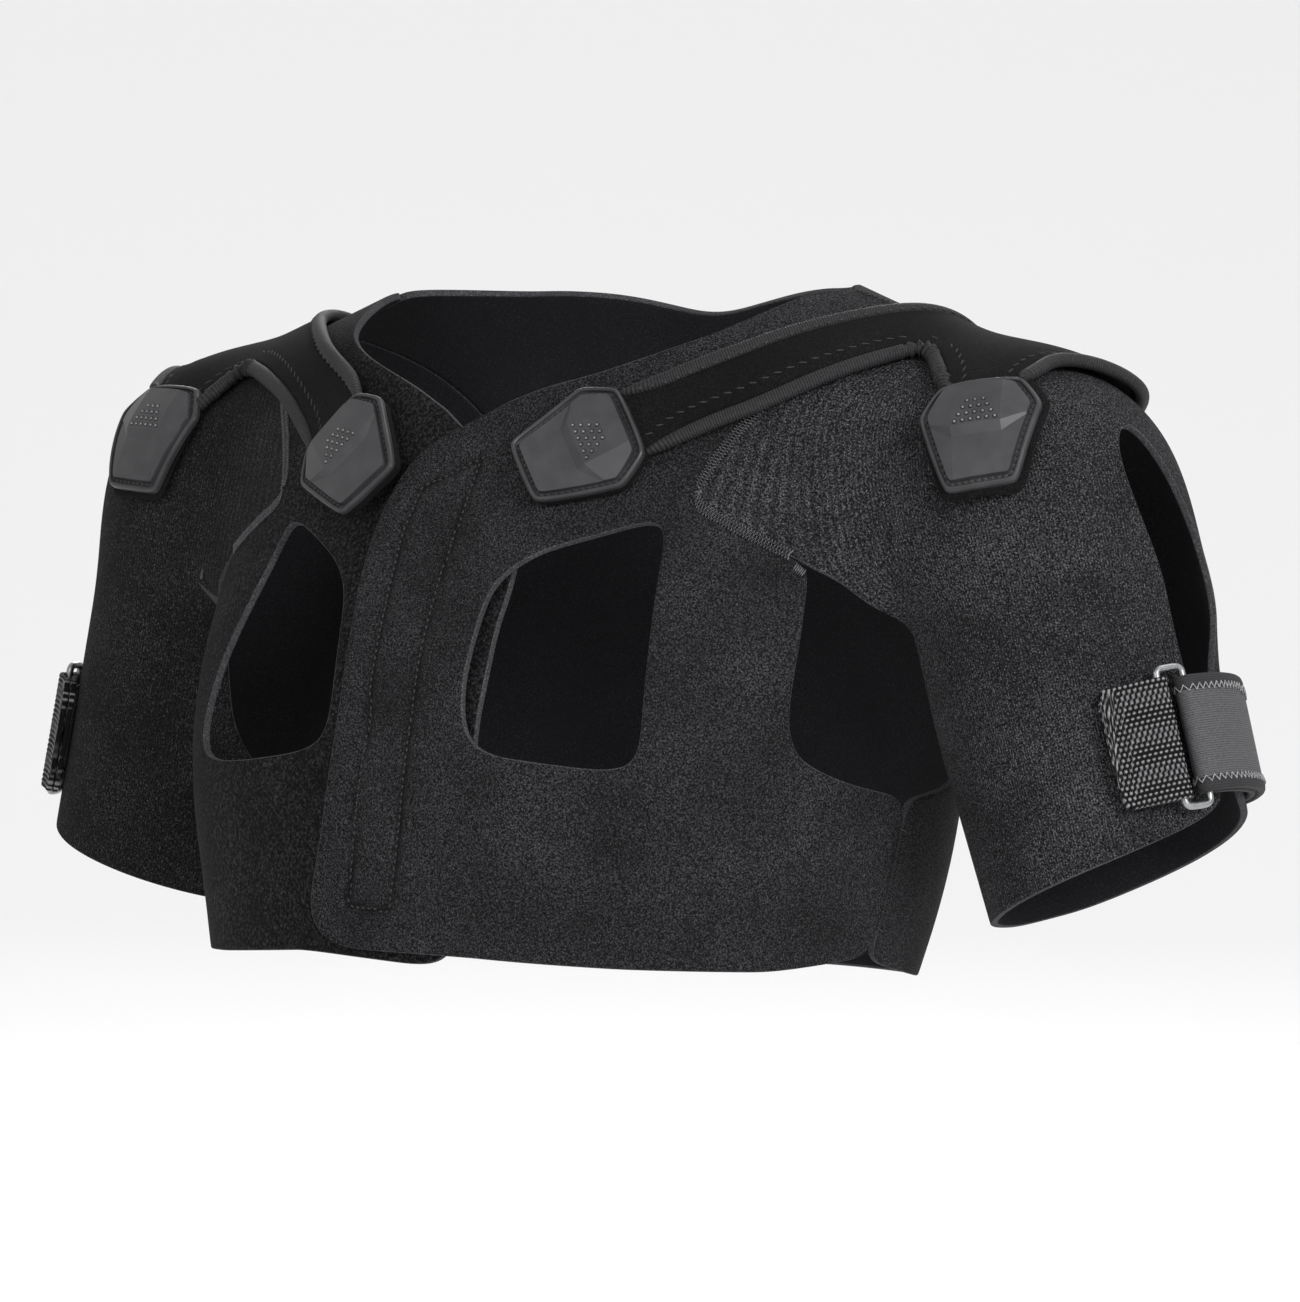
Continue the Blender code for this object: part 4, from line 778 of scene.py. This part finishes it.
for node_name, (centre, out, up) in PADS.items():
    centre, out, up = Vector(centre), Vector(out).normalized(), Vector(up).normalized()
    across = up.cross(out).normalized()
    strap_face = faces["shoulder_strap_" + node_name.split("_")[-1]]

    # the strap's face under the pad as a smooth bend: heights found at a few places, fitted
    found = []
    for x, y in pad_ring(0.006)[::6] * 1000:
        for share in (1.0, 0.6, 0.2):
            start = centre + (across * x + up * y) * share / 1000
            hit = strap_face.ray_cast(start + out * 0.01, -out, 0.03)[0]
            if hit:
                found.append((x * share, y * share, (hit - start).dot(out)))
    xs, ys, highs = np.array(found).T
    bend = np.linalg.lstsq(np.stack([xs ** 0, xs, ys, xs * xs, xs * ys, ys * ys], 1), highs, rcond=None)[0]

    def pad_place(x, y, height):
        # a place on the pad (mm), seated on the strap
        seat = float(bend @ (1, x, y, x * x, x * y, y * y))
        return centre + (across * x + up * y) / 1000 + out * (seat + 0.0005 + height / 1000)

    rings = [(pad_ring(inset / 1000) * 1000, height) for inset, height in PAD_PROFILE]
    body = pad_ring(BODY_INSET / 1000) * 1000
    bm = bmesh.new()
    count = len(body)
    bmesh.ops.create_grid(bm, x_segments=count, y_segments=len(rings), size=0.5)
    for vert in bm.verts:
        turn = round((vert.co.x + 0.5) * count) % count
        ring = round((vert.co.y + 0.5) * len(rings))
        if ring < len(rings):
            vert.co = (*rings[ring][0][turn], rings[ring][1])
        else:
            vert.co = (*body[turn], 0.0)
    bmesh.ops.remove_doubles(bm, verts=bm.verts, dist=0.0001)
    lip = list(bm.faces)
    for face in lip:
        face.smooth = True
        face.material_index = 1
    rim = [edge for edge in bm.edges if edge.is_boundary and all(abs(v.co.z) < 0.0001 for v in edge.verts)]
    for face in bmesh.ops.contextual_create(bm, geom=rim)["faces"]:
        face.material_index = 0
        face.smooth = False
    # cut along the facets' lines, then across them so that the body bends with the strap
    cuts = [((0, level), (0, 1)) for level in (STEP_TOP, STEP_FOOT)]
    for side in (-1, 1):
        cuts += [((side * MIDDLE, 0), (1, 0)),
                 ((side * MIDDLE, STEP_TOP), (STEP_TOP - STEP_POINT, side * (WIDEST - MIDDLE))),
                 ((side * MIDDLE, STEP_FOOT), (STEP_FOOT - STEP_POINT, side * (WIDEST - MIDDLE)))]
    cuts += [((spot, spot), way) for spot in range(-20, 21, 5) for way in ((1, 0), (0, 1))]
    for spot, way in cuts:
        middle = [face for face in bm.faces if face.material_index == 0]
        geom = middle + list({e for face in middle for e in face.edges}) + \
            list({v for face in middle for v in face.verts})
        bmesh.ops.bisect_plane(bm, geom=geom, plane_co=(*spot, 0), plane_no=(*way, 0), dist=0.001)
    for vert in {v for face in bm.faces if face.material_index == 0 for v in face.verts}:
        vert.co.z = body_height(vert.co.x, vert.co.y)
    for vert in bm.verts:
        vert.co = pad_place(*vert.co)
    bmesh.ops.recalc_face_normals(bm, faces=bm.faces)
    mesh = bpy.data.meshes.new(node_name + "_moulded")
    bm.to_mesh(mesh)
    bm.free()
    mesh.shade_smooth()
    mesh.set_sharp_from_angle(angle=math.radians(6))
    pad = bpy.data.objects.new(node_name + "_moulded", mesh)
    bpy.context.scene.collection.objects.link(pad)
    dress(pad, (PAD_RUBBER, PAD_LIP_SHADED), node_name)
    places = [pad_place((i - (number - 1) / 2) * DOT_PITCH, y, body_height(0, y))
              for y, number in DOT_ROWS for i in range(number)]
    # each dot sits on a dark flat disc of painted shade, and is itself in lighter rubber as a painted
    # highlight
    for label, size, high, made in (("pits", SHADE_DISC_SIZE, 0.3, PAD_SHADE_DISC), ("dots", DOT_SIZE, 1.3, PAD_DOT_HIGHLIGHT)):
        seeds(node_name + "_" + label, places, [up] * len(places), [out] * len(places),
              (size / 1000, size / 1000, high / 1000), made)
    track = even(pad_ring(0.0028), 0.0027, closed=True)[:-1] * 1000
    places = [pad_place(x, y, 1.1) for x, y in track]
    ways = [places[(i + 1) % len(places)] - places[i - 1] for i in range(len(places))]
    seeds(node_name + "_stitches", places, ways, [out] * len(places), (0.0019, 0.0009, 0.0009), BLACK_THREAD)


# Ring: 3.3 mm steel wire bent to a rounded rectangle and butt-welded, with a satin nickel finish.
ring_metal, tree = blank_material("satin_nickel_steel")
place = node(tree, "ShaderNodeTexCoord").outputs["Object"]
rub = node(tree, "ShaderNodeTexNoise", {"Vector": place, "Scale": 1000 / 1.5, "Detail": 4.0})
rough = node(tree, "ShaderNodeMapRange", {"Value": rub.outputs[0], "To Min": 0.30, "To Max": 0.52})
tint = node(tree, "ShaderNodeMix", {"Factor": rub.outputs[0], "A": linear("#6f7071"), "B": linear("#a5a6a7")},
            data_type="RGBA")
shader = node(tree, "ShaderNodeBsdfPrincipled", {"Base Color": tint.outputs["Result"], "Metallic": 1.0,
                                                 "Roughness": rough.outputs[0]})
node(tree, "ShaderNodeOutputMaterial", {"Surface": shader.outputs[0]})
for word in ("left", "right"):
    ring = finer("ring_" + word, "ring_" + word + "_wire", 2, 0.0)
    dress(ring, (ring_metal, ring_metal, ring_metal), "ring_" + word)


# Webbing tab: coarse black polyester webbing in a basket weave, folded round the ring's front bar with both
# ends sewn to the sleeve.
WEBBING_WIDE, WEAVE_PITCH, WEAVE_RISE = 0.047, 0.0021, 0.0005


def webbing_cloth(name, dark, light):
    # thick filament yarns: the tops of the floats are painted light grey as a painted highlight, the gaps
    # keep the webbing's own black
    made, tree = blank_material(name)
    rise = node(tree, "ShaderNodeAttribute", attribute_name="weave_rise")
    place = node(tree, "ShaderNodeTexCoord").outputs["Object"]
    fibre = node(tree, "ShaderNodeTexNoise", {"Vector": place, "Scale": 1000 / 0.4, "Detail": 2.0})
    # painted highlight: the colour goes light grey where the float rises
    top = node(tree, "ShaderNodeMapRange", {"Value": rise.outputs["Fac"], "From Min": 0.45, "From Max": 0.95})
    share = node(tree, "ShaderNodeMath", {0: top.outputs[0], 1: fibre.outputs[0]}, operation="MULTIPLY")
    colour = node(tree, "ShaderNodeMix", {"Factor": share.outputs[0], "A": linear(dark), "B": linear(light)},
                  data_type="RGBA")
    bump = node(tree, "ShaderNodeBump", {"Height": fibre.outputs[0], "Distance": 0.0001, "Strength": 1.0})
    shader = node(tree, "ShaderNodeBsdfPrincipled", {
        "Base Color": colour.outputs["Result"], "Roughness": 0.8, "Normal": bump.outputs[0],
        "Specular IOR Level": 0.12})
    node(tree, "ShaderNodeOutputMaterial", {"Surface": shader.outputs[0]})
    return made


WEBBING = webbing_cloth("basket_weave_webbing", "#060606", "#b0b0b3")
for word in ("left", "right"):
    node_name = "webbing_tab_" + word
    tab = finer(node_name, node_name + "_weave", 4, 0.7)
    places = np.array([v.co for v in tab.data.vertices])
    outs = np.array([v.normal for v in tab.data.vertices])
    round_it, along_it = round_arm(word, places)
    # every second row of floats is set off by half a float
    row = np.floor(along_it / WEAVE_PITCH)
    u, v = round_it / WEAVE_PITCH + row % 2 / 2, along_it / WEAVE_PITCH - row
    rise = np.abs(np.sin(np.pi * u)) ** 0.8 * np.sin(np.pi * v) ** 0.8
    tab.data.vertices.foreach_set("co", (places + outs * (WEAVE_RISE * (rise - 0.4))[:, None]).ravel())
    tab.data.update()
    tab.data.attributes.new("weave_rise", "FLOAT", "POINT").data.foreach_set("value", rise.astype(np.float32))
    dress(tab, (WEBBING, WEBBING, WEBBING), node_name)


# Arm strap: grey jersey over 3 mm foam. It is sewn to the sleeve behind, runs through the ring and folds
# back on itself; both long edges are turned in and overlocked in grey thread.
def jersey(name, dark, light, rib_mm):
    # close jersey: fine courses round the arm, smooth and a little shiny
    made, tree = blank_material(name)
    cloth = node(tree, "ShaderNodeUVMap", uv_map="round_arm").outputs[0]
    split = node(tree, "ShaderNodeSeparateXYZ", {"Vector": cloth})
    place = node(tree, "ShaderNodeTexCoord").outputs["Object"]
    fibre = node(tree, "ShaderNodeTexNoise", {"Vector": place, "Scale": 1000 / 0.8, "Detail": 3.0})
    courses = node(tree, "ShaderNodeMath", {0: split.outputs[1], 1: SINE_MM / rib_mm}, operation="MULTIPLY")
    courses = node(tree, "ShaderNodeMath", {0: fibre.outputs[0], 1: 3.0, 2: courses.outputs[0]},
                   operation="MULTIPLY_ADD")
    courses = node(tree, "ShaderNodeMath", {0: courses.outputs[0]}, operation="SINE")
    share = node(tree, "ShaderNodeMath", {0: courses.outputs[0], 1: 0.22, 2: fibre.outputs[0]},
                 operation="MULTIPLY_ADD", use_clamp=True)
    colour = node(tree, "ShaderNodeMix", {"Factor": share.outputs[0], "A": linear(dark), "B": linear(light)},
                  data_type="RGBA")
    bump = node(tree, "ShaderNodeBump", {"Height": share.outputs[0], "Distance": 0.00015, "Strength": 1.0})
    shader = node(tree, "ShaderNodeBsdfPrincipled", {
        "Base Color": colour.outputs["Result"], "Roughness": 0.8, "Normal": bump.outputs[0],
        "Specular IOR Level": 0.2})
    node(tree, "ShaderNodeOutputMaterial", {"Surface": shader.outputs[0]})
    return made


JERSEY = jersey("grey_jersey", "#252527", "#565658", 0.9)
# the turned edges get a darker copy of the jersey: painted shade along each long edge
JERSEY_EDGE_SHADED = jersey("turned_jersey_edge_painted_shade", "#101011", "#323234", 0.9)
# the strap's half width and the width and swell of its turned edge; the painted shade covers the same band
STRAP_HALF, EDGE_BAND, EDGE_SWELL = 0.0225, 0.0052, 0.0005
# the overlock: pitch, reach out and in of the edge, thread; the end edges nearer the middle have none
OVERLOCK_PITCH, OVERLOCK_OUT, OVERLOCK_IN, OVERLOCK_THREAD = 0.0034, 0.0004, -0.0020, 0.0007
END_HALF, RUN_BREAK = 0.010, 0.006
for word in ("left", "right"):
    node_name = "arm_strap_" + word
    strap = finer(node_name, node_name + "_jersey", 3, 0.35)
    places = np.array([v.co for v in strap.data.vertices])
    round_it, along_it = round_arm(word, places)
    store_uv(strap, "round_arm", round_it, along_it)
    into = (STRAP_HALF - np.abs(along_it)) / EDGE_BAND
    swell = EDGE_SWELL * np.sqrt(np.clip(1 - (2 * into - 1) ** 2, 0, 1))
    outs = np.array([v.normal for v in strap.data.vertices])
    strap.data.vertices.foreach_set("co", (places + outs * swell[:, None]).ravel())
    strap.data.update()
    for face in strap.data.polygons:
        if face.material_index == 0 and min(into[i] for i in face.vertices) < 1:
            face.material_index = 1
    dress(strap, (JERSEY, JERSEY_EDGE_SHADED, JERSEY), node_name)
    strap_face = surface(strap)
    cuts = []
    for run in edge_runs(strap):
        _, along_it = round_arm(word, run[:, :3])
        for keep in (along_it > END_HALF, along_it < -END_HALF):
            part = run[keep]
            jumps = np.nonzero(np.linalg.norm(np.diff(part[:, :3], axis=0), axis=1) > RUN_BREAK)[0] + 1
            cuts += [piece for piece in np.split(part, jumps) if len(piece) > 8]
    ladder("arm_strap_overlock_" + word, cuts, [strap_face], OVERLOCK_PITCH, OVERLOCK_OUT, OVERLOCK_IN,
           OVERLOCK_THREAD, PALE_THREAD)
